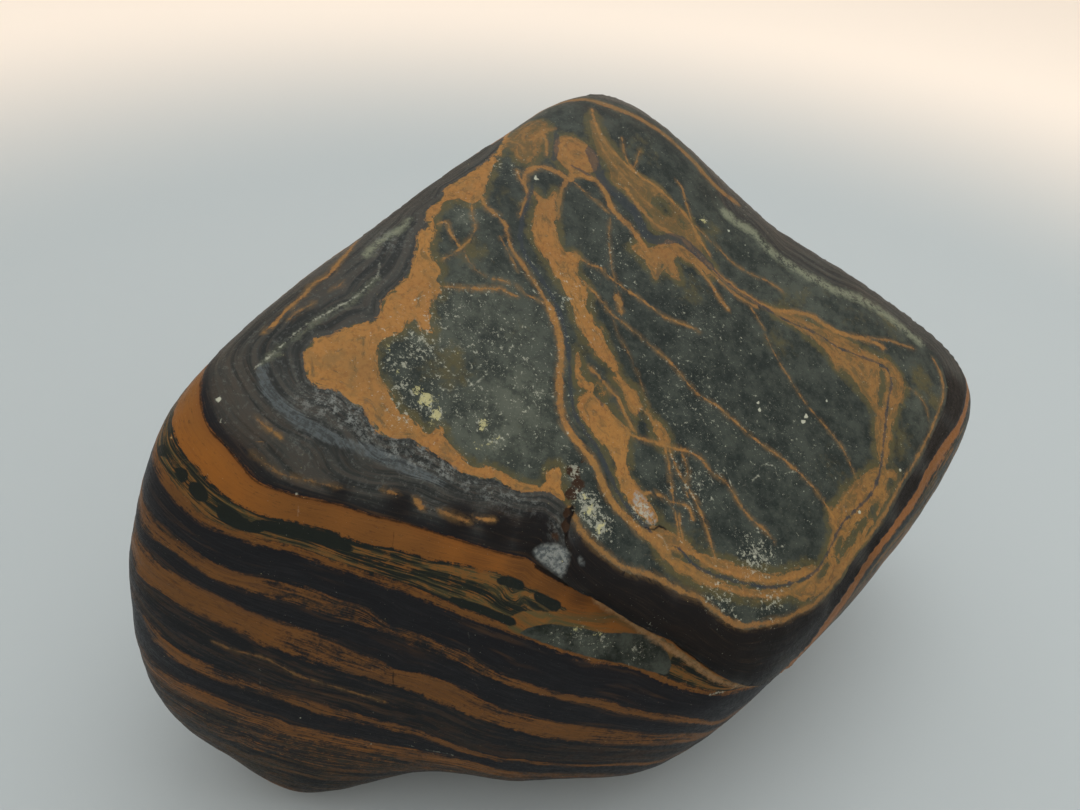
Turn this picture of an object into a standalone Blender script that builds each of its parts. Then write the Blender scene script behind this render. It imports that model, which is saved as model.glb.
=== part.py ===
"""Banded iron formation specimen: one water-worn, four-sided cobble lying on a small flat spot.

Metres, +Z up. The photographed view looks along +Y, so the tilted top face runs down to the front right.
Places on the stone are given in millimetres from its middle.
"""

import math

import bmesh
import bpy
from mathutils import Matrix, Vector, noise

NAME = "banded_stone"
MM = 0.001

# Flat sides of the stone before wear: compass angle from +X, angle above the horizon and distance
# from the middle of the stone, in degrees and millimetres.
SIDES = {
    "top": (-49, 56, 33.0),
    "front": (-88, 4, 42.0),
    "left_end": (179, 10, 74.0),
    "far_left": (152, 27, 57.5),
    "far_right": (74, 4, 63.5),
    "right": (-34, -3, 53.0),
    "front_low": (-95, -42, 59.5),
    "low_right": (-45, -19, 46.5),
    "low_left": (168, -25, 69.5),
    "low_far_left": (139, -45, 57.5),
    "low_far": (60, -46, 56.0),
    "low_far_right": (15, -47, 64.0),
    "apex": (65, 19, 69.5),
    "right_tip": (-31, 0, 85.0),
    "bottom": (0, -90, 42.0),
}
WEAR_POWER = 9.0  # a higher power leaves sharper edges between the sides
REST_DEPTH = 41.3 * MM  # the table plane below the middle, which sets the size of the flat rest spot
TABLE_BLOCK = Vector((300, 300, 60)) * MM

# Hollows and swells left by wear: compass angle, angle above the horizon, inward depth in millimetres
# and reach in degrees. A negative depth is a swell.
HOLLOWS = {
    "far_right_flank": (55, 36, 3.5, 18),
    "foot": (-139, -31, -5.5, 7),
    "belly_left": (-121, -39, 4.1, 10),
    "belly": (-93, -44, 3.6, 11),
    "belly_right": (-66, -47, 0.7, 11),
}

LUMP_HEIGHT = 0.5 * MM
LUMP_SPACING = 24 * MM
LUMP_SEED = Vector((3.1, 7.7, 1.9))

# The ledge where a layer broke away below the front edge of the top: stations along it from left to
# right, each with its place, the depth of the break and how far down the front it fades out.
LEDGE = [
    ((-12.0, -37.4, 23.6), 0.3, 3.0),
    ((-8.4, -37.6, 21.3), 0.5, 4.0),
    ((-4.4, -37.7, 18.9), 1.0, 6.5),
    ((0.5, -38.2, 17.0), 1.8, 9.5),
    ((5.0, -39.0, 13.4), 2.7, 12.0),
    ((9.5, -39.4, 10.3), 3.4, 13.0),
    ((14.5, -39.5, 6.6), 3.1, 11.0),
    ((19.5, -39.0, 2.6), 2.2, 8.5),
    ((24.5, -37.6, 0.2), 1.3, 5.5),
    ((30.5, -33.0, -2.6), 0.8, 3.5),
    ((35.8, -29.0, -2.3), 0.3, 2.5),
]
LEDGE_OUTWARD = Vector((0.20, -0.92, 0.33)).normalized()
LEDGE_DOWNWARD = Vector((-0.10, -0.18, -0.98)).normalized()
LEDGE_UNDERCUT = 0.35  # how far the inner edge rises, as a share of the depth
CUTTER_OVERHANG = 5.0  # how far a cutter stands out of the surface, in millimetres

# The bright chip at the left end of the ledge, and the crack that runs up from it.
CHIP_CORNER = Vector((-4.6, -35.2, 23.6))
CHIP_FACING = Vector((0.36, -0.66, 0.66)).normalized()
CHIP_UPWARD = Vector((0.10, 0.52, 0.84))
CHIP_DEPTH = 1.5
CHIP_WIDTH = 8.5
CHIP_HEIGHT = 7.5
CRACK_TOP = Vector((-6.0, -27.5, 28.6))
CRACK_FOOT = Vector((-4.9, -35.4, 22.4))
CRACK_WIDTH = 2.2
CRACK_DEPTH = 1.5
CRACK_OVERRUN = 1.0  # how far the crack fades out past its two ends

BALL_STEPS = 6
FACE_SHARE = 0.42  # share of the triangles that the last simplification keeps
STONE_COLOUR = (0.050, 0.042, 0.034, 1.0)
STONE_ROUGHNESS = 0.45


def pointing(compass, climb):
    """The unit vector at these two angles in degrees."""
    across, up = math.radians(compass), math.radians(climb)
    return Vector((math.cos(up) * math.cos(across), math.cos(up) * math.sin(across), math.sin(up)))


def clear_scene():
    for obj in list(bpy.data.objects):
        bpy.data.objects.remove(obj, do_unlink=True)


def new_collection(name):
    made = bpy.data.collections.new(name)
    bpy.context.scene.collection.children.link(made)
    return made


def worn_reach(direction):
    """How far the stone reaches from its middle along a unit direction.

    Each side pulls the surface in to its own plane, and the power blends neighbours into a round edge.
    """
    pull = 0.0
    for compass, climb, distance in SIDES.values():
        facing = direction.dot(pointing(compass, climb))
        if facing > 0:
            pull += (facing / (distance * MM)) ** WEAR_POWER
    return pull ** (-1 / WEAR_POWER)


def hollow_depth(direction):
    """The sum of the hollows along a unit direction, each one a smooth dish."""
    depth = 0.0
    for compass, climb, deepest, reach in HOLLOWS.values():
        away = direction.angle(pointing(compass, climb)) / math.radians(reach)
        depth += deepest * MM * math.exp(-away * away)
    return depth


def worn_cobble(collection):
    """The cobble before its breaks: a ball whose points move out to the worn sides."""
    mesh = bpy.data.meshes.new(NAME)
    shape = bmesh.new()
    bmesh.ops.create_icosphere(shape, subdivisions=BALL_STEPS, radius=1.0)
    for vertex in shape.verts:
        direction = vertex.co.normalized()
        reach = worn_reach(direction) - hollow_depth(direction)
        lump = noise.noise(direction * (reach / LUMP_SPACING) + LUMP_SEED)
        vertex.co = direction * (reach + LUMP_HEIGHT * lump)
    shape.to_mesh(mesh)
    shape.free()
    stone = bpy.data.objects.new(NAME, mesh)
    collection.objects.link(stone)
    return stone


def as_cutter(collection, stone, name, shape):
    """A cutter from a finished bmesh, which moves with the stone and stays out of the render."""
    bmesh.ops.recalc_face_normals(shape, faces=shape.faces)
    mesh = bpy.data.meshes.new(name)
    shape.to_mesh(mesh)
    shape.free()
    cutter = bpy.data.objects.new(name, mesh)
    cutter.parent = stone
    cutter.hide_render = True
    cutter.display_type = "WIRE"
    collection.objects.link(cutter)
    return cutter


def facing_frame(facing, upward, place):
    """A frame at a place whose Z axis is facing and whose Y axis is as near to upward as it can be."""
    side = upward.cross(facing).normalized()
    frame = Matrix((side, facing.cross(side), facing)).transposed().to_4x4()
    return Matrix.Translation(place * MM) @ frame


def table_cutter(collection, stone):
    """Everything below the table plane, so that the stone has a real flat face to rest on."""
    shape = bmesh.new()
    place = Matrix.Translation((0, 0, -REST_DEPTH - TABLE_BLOCK.z / 2))
    bmesh.ops.create_cube(shape, size=1, matrix=place @ Matrix.Diagonal(TABLE_BLOCK.to_4d()))
    return as_cutter(collection, stone, "table", shape)


def ledge_cutter(collection, stone):
    """A wedge lofted along the ledge: its upper side is the undercut and its lower side the broken slope."""
    shape = bmesh.new()
    rings = []
    for place, depth, fade in LEDGE:
        edge = Vector(place)
        inner = edge - LEDGE_OUTWARD * depth - LEDGE_DOWNWARD * (depth * LEDGE_UNDERCUT)
        lip = edge + (edge - inner).normalized() * CUTTER_OVERHANG
        toe = edge + LEDGE_DOWNWARD * fade
        skirt = toe + (toe - inner).normalized() * CUTTER_OVERHANG
        rings.append([shape.verts.new(corner * MM) for corner in (inner, lip, skirt)])
    for ring, following in zip(rings, rings[1:]):
        for i in range(3):
            shape.faces.new((ring[i], ring[i - 1], following[i - 1], following[i]))
    shape.faces.new(rings[0])
    shape.faces.new(rings[-1])
    bmesh.ops.triangulate(shape, faces=shape.faces)
    return as_cutter(collection, stone, "ledge", shape)


def chip_cutter(collection, stone):
    """A box whose lower left part stands clear of the surface, so the chip fades out on that side."""
    shape = bmesh.new()
    size = Vector((CHIP_WIDTH, CHIP_HEIGHT, CUTTER_OVERHANG + CHIP_DEPTH))
    middle = Vector((-size.x / 2, -size.y / 2, size.z / 2 - CHIP_DEPTH))
    box = Matrix.Translation(middle * MM) @ Matrix.Diagonal((size * MM).to_4d())
    bmesh.ops.create_cube(shape, size=1, matrix=facing_frame(CHIP_FACING, CHIP_UPWARD, CHIP_CORNER) @ box)
    return as_cutter(collection, stone, "chip", shape)


def crack_cutter(collection, stone):
    """A long narrow ball laid along the crack."""
    shape = bmesh.new()
    along = CRACK_FOOT - CRACK_TOP
    radii = Vector((CRACK_WIDTH / 2, along.length / 2 + CRACK_OVERRUN, CRACK_DEPTH)) * MM
    frame = facing_frame(CHIP_FACING, -along, (CRACK_TOP + CRACK_FOOT) / 2)
    ball = frame @ Matrix.Diagonal(radii.to_4d())
    bmesh.ops.create_uvsphere(shape, u_segments=12, v_segments=8, radius=1.0, matrix=ball)
    return as_cutter(collection, stone, "crack", shape)


def cut(stone, cutter):
    boolean = stone.modifiers.new("cut " + cutter.name, "BOOLEAN")
    boolean.operation = "DIFFERENCE"
    boolean.object = cutter


def simplify(stone):
    fewer = stone.modifiers.new("fewer faces", "DECIMATE")
    fewer.ratio = FACE_SHARE


def stand_over_origin(stone):
    """Puts the middle of the finished box over the origin and the rest spot at zero height."""
    stone.location.z = REST_DEPTH
    bpy.context.view_layer.update()
    finished = stone.evaluated_get(bpy.context.evaluated_depsgraph_get())
    corners = [Vector(corner) for corner in finished.bound_box]
    for axis in (0, 1):
        along = [corner[axis] for corner in corners]
        stone.location[axis] = -(min(along) + max(along)) / 2


def stone_material():
    material = bpy.data.materials.new("banded ironstone")
    material.use_nodes = True
    finish = material.node_tree.nodes["Principled BSDF"]
    finish.inputs["Base Color"].default_value = STONE_COLOUR
    finish.inputs["Roughness"].default_value = STONE_ROUGHNESS
    finish.inputs["Metallic"].default_value = 0.0
    return material


def main():
    clear_scene()
    parts = new_collection("banded iron formation specimen")
    cutters = new_collection("cutters")
    stone = worn_cobble(parts)
    stone.data.materials.append(stone_material())
    for cutter in (table_cutter, ledge_cutter, chip_cutter, crack_cutter):
        cut(stone, cutter(cutters, stone))
    simplify(stone)
    stand_over_origin(stone)


main()
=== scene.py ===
"""Looks of the banded iron formation specimen: the worn stone and its markings on a plain floor.

Lines and outlines of the markings are given in pixels of the 1080 x 810 photograph and carried onto the stone
from the photograph's camera. Everything on the stone itself is in millimetres unless it says otherwise.
"""

import math
from types import SimpleNamespace

import bmesh
import bpy
import numpy as np
from bpy.props import FloatProperty, FloatVectorProperty, IntProperty, PointerProperty
from mathutils import Euler, Matrix, Vector, noise
from mathutils.bvhtree import BVHTree
from mathutils.kdtree import KDTree


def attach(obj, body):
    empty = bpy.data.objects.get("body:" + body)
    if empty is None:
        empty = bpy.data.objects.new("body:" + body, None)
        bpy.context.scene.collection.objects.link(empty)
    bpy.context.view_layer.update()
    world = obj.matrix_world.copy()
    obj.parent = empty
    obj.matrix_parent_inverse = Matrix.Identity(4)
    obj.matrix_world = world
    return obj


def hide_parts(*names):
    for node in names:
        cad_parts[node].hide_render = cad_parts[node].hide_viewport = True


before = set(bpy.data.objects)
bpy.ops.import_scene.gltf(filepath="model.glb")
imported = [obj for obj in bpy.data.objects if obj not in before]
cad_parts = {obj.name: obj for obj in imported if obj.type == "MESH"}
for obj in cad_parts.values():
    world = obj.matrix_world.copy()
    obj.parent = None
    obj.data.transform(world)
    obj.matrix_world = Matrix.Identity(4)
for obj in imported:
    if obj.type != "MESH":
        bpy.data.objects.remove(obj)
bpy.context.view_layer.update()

bl_info = {
    "name": "Banded iron formation specimen",
    "version": (1, 0, 0),
    "blender": (4, 5, 0),
    "location": "3D View > Sidebar > Banded stone",
    "description": "A worn cobble of banded iron formation with its beds, seams and veins",
    "category": "Add Mesh",
}

NODE = "banded_stone"
MM = 0.001

# The photograph's camera, in the frame of the part.
PHOTO_SIZE = (1080, 810)
FOCAL_PIXELS = 881.0
SENSOR_WIDTH = 36.0
CAMERA_PLACE = Vector((-0.0140, -0.13435, 0.1581))
LOOK_DOWN = math.radians(38)
LEAN = math.radians(5)

# The beds: the middle of the stone, the direction in which the beds are stacked, and for each boundary
# between two beds its level and its line across the visible sides, from the left end to the right.
MIDDLE = Vector((-2.825, -12.751, 41.3))
STACKING = Vector((0.37, -0.42, 0.83)).normalized()
BED_LINES = {
    "wide_amber_top": (
        "239,334 219,351 207,367 202,385 202,403 209,426 227,446 241,463 258,481 281,490 304,497 338,504"
        " 372,515 407,523 451,537 500,552 525,558 538,567 555,579 573,590 596,599 612,609 622,615 647,631"
        " 669,642 692,657 715,673 729,680 742,683 761,680 775,673 791,664 802,650 812,638 826,618 839,601"
        " 850,585 860,568 870,553 882,537 893,523 902,510 914,494 921,477 930,461 942,442 957,423"
    ),
    "wide_amber_foot": (
        "185,379 178,393 174,405 174,421 177,436 185,450 199,468 214,485 231,498 248,507 267,516 290,519"
        " 322,527 340,532 363,542 395,548 429,557 460,563 482,568 506,573 522,584 543,593 559,603 570,611"
        " 588,616 604,618 622,619 647,634 669,645 692,660 715,675 729,682 742,685 761,682 775,676 791,668"
        " 803,655 812,645 828,624 841,606 853,590 863,574 873,559 885,543 896,529 906,516 918,500 926,484"
        " 935,468 947,450 962,430"
    ),
    "orange_line_top": (
        "149,434 158,456 170,475 183,494 198,509 217,523 246,533 270,540 294,546 326,558 358,570 401,583"
        " 420,590 441,599 461,608 482,616 502,624 518,632 543,642 563,650 584,656 612,661 635,666 655,675"
        " 669,682 686,688 700,692 715,695 728,696 750,692 768,685 782,678 797,667 812,652 830,630 846,608"
        " 862,586 880,563 899,541 911,526 927,506 944,481 957,456"
    ),
    "orange_line_foot": (
        "146,440 152,464 163,484 176,502 190,517 211,531 244,540 268,547 292,554 324,566 356,578 400,591"
        " 420,598 441,606 461,615 481,623 501,631 517,637 543,646 563,654 584,660 612,665 635,670 655,679"
        " 669,686 686,692 700,696 715,698 728,699 750,695 768,689 782,683 798,672 813,657 832,634 848,613"
        " 865,591 884,567 903,545 915,530 931,510 948,485 960,462"
    ),
    "second_amber_top": (
        "136,478 141,490 145,500 159,518 180,539 200,555 223,568 244,575 267,576 304,585 336,598 363,605"
        " 375,613 383,622 395,628 420,634 441,642 461,650 482,662 502,674 522,680 543,688 563,694 584,698"
        " 604,701 624,707 645,712 665,715 696,720 720,721 742,716"
    ),
    "second_amber_foot": (
        "134,512 138,525 154,539 170,550 193,568 219,582 239,589 258,596 281,601 304,608 327,617 349,621"
        " 372,628 383,632 395,637 420,647 441,656 461,665 482,675 502,682 522,689 543,694 563,699 584,704"
        " 604,709 624,714 645,718 665,721 696,724 720,725 740,720"
    ),
    "third_amber_top": (
        "133,524 135,531 150,548 170,568 196,585 223,598 248,610 262,616 292,626 327,637 349,647 372,656"
        " 388,663 395,669 405,670 431,677 461,689 482,699 502,706 522,713 543,718 563,723 584,726 604,728"
        " 635,732 665,734 696,732 718,731 735,727"
    ),
    "third_amber_foot": (
        "132,556 134,568 145,580 161,591 180,605 200,614 223,624 248,635 267,647 294,656 315,665 338,672"
        " 368,679 390,685 400,687 420,694 451,707 482,721 498,726 522,731 547,738 573,742 604,744 635,745"
        " 665,745 686,742 705,738 722,734"
    ),
    "fourth_amber_top": (
        "138,597 143,609 157,628 177,646 200,660 223,669 248,681 276,692 304,699 338,708 372,718 395,723"
        " 420,729 431,735 451,742 471,750 502,757 522,759 543,762 584,764 614,763 645,761 668,758 690,752"
    ),
    "fourth_amber_foot": (
        "138,604 142,620 154,642 173,658 196,672 223,683 248,690 276,698 294,706 315,714 338,719 372,726"
        " 400,733 431,741 461,752 482,757 502,761 522,763 563,766 584,767 614,766 645,764 668,761 690,755"
    ),
    "grained_bed_top": (
        "140,642 142,650 154,663 177,679 205,691 235,704 258,712 281,718 288,723 315,729 350,736 384,743"
        " 400,746 431,752 461,758 482,763 502,768 522,771 553,773 584,772 614,772 645,772 661,770 680,763"
    ),
}
BED_LEVELS = {
    "wide_amber_top": 0.0,
    "wide_amber_foot": -7.0,
    "orange_line_top": -13.0,
    "orange_line_foot": -14.4,
    "second_amber_top": -19.0,
    "second_amber_foot": -22.5,
    "third_amber_top": -26.0,
    "third_amber_foot": -31.0,
    "fourth_amber_top": -37.0,
    "fourth_amber_foot": -39.5,
    "grained_bed_top": -43.0,
}
SHOULDER_SPAN = 14.0  # levels between the wide amber bed and the outline of the top
SHOULDER_SHARE = 0.5  # how strongly the shoulder's striping follows the outline of the top
BED_HIDDEN_SWAY = 1.1  # how far the beds rise and fall where the photograph doesn't show them
UNDERSIDE_REACH = 30.0  # closer to the stacking axis than this, the boundaries flatten out

# The line around the top where the dark bed ends, clockwise from the left of the apex.
TOP_OUTLINE = (
    "511,129 503,139 495,153 485,163 469,173 453,183 445,187 442,197 430,207 425,213 428,226 418,236"
    " 415,256 408,274 400,283 383,300 379,318 353,324 332,336 318,336 310,345 304,351 305,365 308,379"
    " 318,386 333,389 343,395 353,405 365,409 371,423 383,436 397,438 411,438 420,446 430,450 443,458"
    " 461,472 479,478 495,480 511,488 526,492 546,491 558,498 568,508 576,526 588,542 607,558 624,569"
    " 645,575 658,581 678,592 695,598 709,610 726,622 744,629 766,626 786,622 803,613 819,606 841,582"
    " 854,559 882,526 904,486 918,464 930,440 940,418 947,395 944,372 936,355 921,342 905,330 890,318"
    " 874,308 858,299 838,293 818,283 799,271 779,259 765,245 753,231 739,223 729,214 720,196 708,172"
    " 695,157 675,137 655,122 632,108 606,100 584,93 560,96 540,106 524,118"
)

# The ledge under the front edge of the top: how far the slab above swells and the rock below sinks,
# how far each reaches, and the pixels across between which the ledge comes and goes.
LEDGE_LINE = (
    "536,564 556,577 574,588 597,598 613,608 624,614 648,628 670,640 693,656 716,672 730,679 742,683"
    " 760,681 776,674 790,666 806,652"
)
LEDGE_SWELL, LEDGE_SINK = 1.5, 2.1
SWELL_REACH, SINK_REACH = 6.0, 4.5
LIP_WIDTH = 0.9  # how far on each side of the line the swell turns into the sink
LEDGE_START, LEDGE_END = (545, 600), (742, 806)
LEDGE_SOFT_REACH, LEDGE_SOFT_PASSES = 4.0, 14
LEDGE_OVERRUN = 0.5  # how far the swell and the sink go on past the line's two ends
LEDGE_LIFT = 0.25  # upward share of both moves

# Patches of amber on the top: share of full colour, then the outline. The holes are cut out of them.
AMBER_PATCHES = {
    "swirl": (
        0.95,
        "511,129 503,139 495,153 485,163 469,173 453,183 445,187 442,197 430,207 425,213 428,226 418,236"
        " 415,256 408,274 400,283 383,300 379,318 353,324 332,336 318,336 310,345 304,351 305,365 308,379"
        " 318,386 333,389 343,395 353,405 365,409 371,423 383,436 397,438 411,438 420,446 430,450 443,458"
        " 461,472 479,478 495,480 511,488 526,492 546,491 558,498 566,500 562,484 562,474 557,466 550,468"
        " 546,474 542,486 528,485 511,478 495,468 485,467 473,466 457,454 445,438 440,423 434,432 426,434"
        " 412,419 400,411 391,395 380,379 377,357 383,339 401,332 404,326 414,318 424,332 433,336 432,320"
        " 430,300 440,294 441,286 438,280 440,268 432,258 430,244 434,236 436,226 434,218 438,211 447,201"
        " 459,199 473,203 483,195 487,184 489,177 495,163 502,150 508,138"
    ),
    "central_vein": (
        0.9,
        "533,190 537,203 534,216 533,233 539,249 549,263 556,276 567,296 574,312 579,329 586,341 592,349"
        " 601,360 611,372 620,384 624,387 623,380 619,371 613,357 606,344 601,330 594,322 587,306 586,286"
        " 577,272 579,259 576,253 562,249 557,231 556,206 556,192 548,200 540,196"
    ),
    "lower_complex": (
        0.9,
        "577,352 575,371 579,384 588,390 583,396 577,404 583,419 592,432 601,441 610,455 615,471 619,484"
        " 624,496 633,509 645,520 655,524 658,516 644,495 638,487 629,473 628,446 630,432 619,421 610,409"
        " 601,399 604,392 596,384 587,378 581,366"
    ),
    "right_lens": (0.8, "622,380 627,384 635,391 642,407 637,416 630,409 625,395"),
    "far_lens": (0.8, "645,407 653,418 664,428 669,438 670,449 660,444 655,433 650,420"),
    "second_band": (
        0.44,
        "592,114 595,117 606,138 618,153 630,170 643,180 659,189 671,203 683,213 693,225 699,240 704,256"
        " 712,266 706,264 689,243 681,236 669,231 653,229 649,219 639,206 626,193 613,183 606,163 595,145"
        " 590,123"
    ),
    "lower_lobe": (
        0.72,
        "643,246 657,245 669,239 681,244 694,253 704,262 712,272 707,276 696,266 690,262 683,258 676,258"
        " 677,268 681,281 676,279 666,272 662,262 660,274 655,280 648,266 639,256 631,248 638,243"
    ),
    "apex_patch": (
        0.8,
        "556,140 566,136 578,140 590,148 598,158 597,168 588,174 576,172 566,169 558,160 554,150"
    ),
    "apex_side": (0.55, "512,136 524,124 538,120 548,124 546,134 541,146 536,158 528,164 518,160 512,150"),
    "right_field": (
        0.66,
        "767,306 779,317 791,325 807,335 822,347 830,357 838,371 850,381 862,392 870,403 876,415 875,431"
        " 876,449 879,465 868,471 856,481 848,490 840,500 830,509 829,520 834,528 844,520 858,506 868,494"
        " 880,478 887,462 890,446 893,428 896,412 903,398 905,384 898,370 888,360 870,353 850,341 834,333"
        " 818,326 799,318 783,311"
    ),
    "right_corner": (
        0.72,
        "874,474 862,486 852,494 846,504 836,508 828,520 833,530 829,545 824,560 812,574 800,584 790,592"
        " 800,600 816,596 832,584 846,568 858,550 870,530 882,508 892,488 897,474 888,470"
    ),
    "front_corner": (
        0.72,
        "655,526 668,531 680,537 690,544 702,552 720,559 740,566 768,573 790,571 806,566 818,569 808,584"
        " 792,594 768,598 742,596 720,589 704,584 690,577 676,571 662,557 652,542 644,530"
    ),
}
PATCH_HOLES = {
    "second_hole": "654,196 662,198 668,205 673,214 666,216 658,210 652,203",
    "second_hole_b": "679,217 684,220 688,227 683,229 678,223",
    "second_slit": "638,204 645,209 653,218 650,221 642,213",
    "upper_slit": "583,340 588,342 600,362 610,380 606,378 594,360",
    "left_hole": "581,362 587,368 592,380 588,382 582,374",
    "middle_hole": "603,372 608,376 614,392 618,404 612,398 605,386",
    "small_hole": "596,390 601,394 604,402 598,398",
    "lens_gap": "606,388 612,393 618,409 612,404",
    "field_slit": "838,366 848,372 858,386 868,402 864,404 852,392 842,378",
    "field_slot": "880,366 886,378 885,396 880,410 878,398 880,382",
    "corner_slot": "864,516 868,520 858,536 846,552 838,562 842,548 852,532",
    "corner_slot_b": "840,536 844,539 838,556 833,552",
    "corner_slot_c": "876,500 881,503 872,519 868,515",
    "corner_slot_d": "892,476 895,483 888,493 886,484",
    "corner_slot_e": "826,562 830,566 820,580 815,578",
    "front_slot": "664,545 690,556 716,570 748,582 784,584 806,578 788,588 752,588 718,580 694,566 672,556",
}

# Amber veins: width in pixels, share of full colour, then the line.
AMBER_VEINS = {
    "fork_a": (3.5, 1.0, "436,224 447,222 450,232 459,246"),
    "fork_b": (3.0, 0.9, "472,203 473,216 475,226 471,238 461,248 443,260"),
    "fork_c": (2.0, 0.7, "463,250 470,263 477,271 487,278"),
    "level": (4.0, 1.0, "434,286 451,287 479,289 499,289 507,293 517,296"),
    "level_thin": (2.0, 0.9, "491,280 503,281 519,288 530,296 544,303 552,312"),
    "rim_branch": (3.5, 0.6, "508,141 516,143 523,149"),
    "companion_top": (
        5.5,
        0.85,
        "481,195 487,207 499,217 505,224 507,234 511,248 519,260 528,274 538,288 547,303",
    ),
    "companion_foot": (
        9.0,
        1.0,
        "547,303 555,320 560,339 561,359 559,383 560,401 563,418 571,432 583,448 593,463 601,480 608,495"
        " 618,508 630,521 642,533 654,541 668,552",
    ),
    "companion_side": (3.0, 0.6, "499,236 506,249 513,262 517,272"),
    "arch_left": (6.0, 0.9, "520,216 523,205 528,196 525,186 520,178 517,170"),
    "arch_top": (7.0, 0.9, "523,184 527,172 537,167 550,169 562,175 571,180 570,168 567,156 562,146"),
    "arch_foot": (5.0, 0.7, "570,178 563,186 559,200 558,218"),
    "arch_loop": (4.0, 0.55, "534,192 543,202 553,204 557,196"),
    "apex_spur": (4.0, 0.8, "541,130 546,141 547,156"),
    "apex_shade": (7.0, 0.45, "530,140 544,131 556,128"),
    "right_arch": (8.0, 0.95, "570,176 582,175 595,180 602,187 610,203 615,213 630,227 640,240 650,256"),
    "right_arch_spur": (2.2, 0.9, "572,181 584,191 598,203 610,214"),
    "upright": (2.5, 0.6, "610,218 609,240 611,264 615,280 619,298 622,309"),
    "upright_blob": (7.0, 0.85, "616,296 619,303 621,312"),
    "second_edge": (
        4.5,
        1.0,
        "592,108 598,130 610,148 625,163 640,176 656,186 668,198 681,211 691,223 700,240 710,256",
    ),
    "second_inner": (5.5, 0.8, "626,188 632,198 640,208 648,217 656,224 668,231 682,238"),
    "second_inner_b": (4.0, 0.6, "600,142 606,154 615,166 625,178 634,189 643,199 652,207"),
    "second_prong": (3.0, 0.8, "622,138 625,155 633,168 638,157 641,150"),
    "second_twig": (3.0, 0.8, "677,180 683,190 687,208 692,222"),
    "main_strand": (
        6.5,
        1.0,
        "684,240 692,249 704,260 716,272 729,283 743,293 757,302 770,309 783,311 799,313 814,318 826,326"
        " 840,333 854,337 870,341 884,348",
    ),
    "main_tail": (3.5, 0.7, "866,338 890,341 903,345 915,349"),
    "lower_spur": (5.5, 0.9, "696,266 706,278 714,290 720,300 728,310"),
    "lower_second": (5.0, 0.8, "700,262 714,276 728,288 742,299 758,308"),
    "upper_thin": (2.5, 0.85, "694,225 710,241 723,253 737,265 753,275 767,281 783,292"),
    "long_spur": (
        3.2,
        1.0,
        "575,252 586,263 600,268 612,279 625,289 641,300 655,310 665,318 683,324 700,331",
    ),
    "steep_spur": (3.0, 0.9, "588,286 598,296 606,308 616,318"),
    "steep_spur_b": (2.0, 0.8, "602,300 613,314 627,326 643,339 657,351"),
    "first_long": (
        3.2,
        0.95,
        "657,351 671,363 683,377 693,389 704,398 716,406 733,420 749,433 763,445 783,459 799,473 814,489"
        " 826,505 834,518",
    ),
    "pale_long": (1.6, 0.5, "611,312 617,332 625,347 635,367 643,387 649,405"),
    "second_long": (
        2.2,
        0.8,
        "745,299 751,308 763,326 767,338 779,362 787,374 799,393 814,414 826,427 836,439 846,455 854,473"
        " 858,483",
    ),
    "third_long": (3.0, 0.9, "702,462 712,473 720,478 731,490 739,503 749,516 759,526 767,532 774,543"),
    "tongue": (4.5, 1.0, "626,432 640,438 654,442 672,448 690,453 703,460"),
    "strand_b": (5.0, 0.9, "588,366 599,377 609,388 617,397 623,408 630,423 636,432"),
    "strand_c": (5.0, 0.9, "614,368 622,381 628,392 636,404 646,412 655,424"),
    "down_a": (2.8, 1.0, "665,446 669,466 672,491 676,516 680,541"),
    "down_b": (3.4, 1.0, "669,450 679,473 690,491 699,509 706,527 713,550 716,562"),
    "down_c": (2.8, 0.9, "681,451 688,471 685,484 688,498"),
    "cross": (3.5, 1.0, "640,497 651,493 660,496 672,502 688,507 693,520"),
    "down_d": (3.5, 0.8, "679,512 681,530 684,545"),
    "front_edge": (5.0, 1.0, "652,540 668,548 690,553 705,562 722,570 744,577 770,581 796,577 812,570"),
    "front_edge_b": (4.5, 0.9, "662,556 676,566 696,575 714,584 736,591 762,596 788,592 808,580 822,566"),
    "rim_front": (
        6.5,
        0.78,
        "569,507 578,524 590,540 609,555 626,566 647,573 660,578 679,589 696,595 710,606 727,619 744,625"
        " 765,623 784,619 801,610 816,603 838,579 851,556 878,524 901,483",
    ),
    "rim_right": (4.0, 0.8, "901,483 914,462 926,440 936,418 943,396 941,374 933,358"),
    "rim_right_thin": (2.0, 0.7, "906,386 916,393 925,405 929,420"),
    "rim_apex": (
        8.0,
        0.7,
        "512,128 528,114 545,105 562,100 584,99 606,105 632,115 655,128 675,143 693,161 706,176 722,192"
        " 738,204",
    ),
    "shoulder_rim": (
        6.0,
        0.9,
        "264,332 276,322 290,307 303,296 313,284 326,277 337,265 348,253 356,240 366,229",
    ),
    "shoulder_rim_b": (4.0, 0.7, "288,320 297,313 306,308 314,303"),
    "shoulder_rim_c": (3.0, 0.6, "331,291 338,286 343,281"),
    "shoulder_edge": (8.0, 0.7, "232,333 250,317 270,299 292,283 316,264 340,246 364,228 388,211 410,196"),
    "shoulder_spot_a": (4.5, 0.8, "256,418 262,424 270,431"),
    "shoulder_spot_b": (5.0, 0.8, "275,434 280,438"),
    "shoulder_line": (2.6, 0.55, "250,452 266,463 282,474 300,479 326,484 340,488"),
    "shoulder_spot_c": (3.5, 0.7, "382,490 390,492 398,494"),
    "shoulder_spot_d": (7.0, 0.8, "415,500 419,504 423,508"),
    "shoulder_spot_e": (5.0, 0.8, "440,510 454,516 469,522"),
    "shoulder_spot_f": (4.0, 1.0, "474,516 484,519 495,520"),
    "faint_bed": (3.5, 0.5, "213,641 237,651 265,658 299,675 340,689 389,703"),
}
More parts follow.
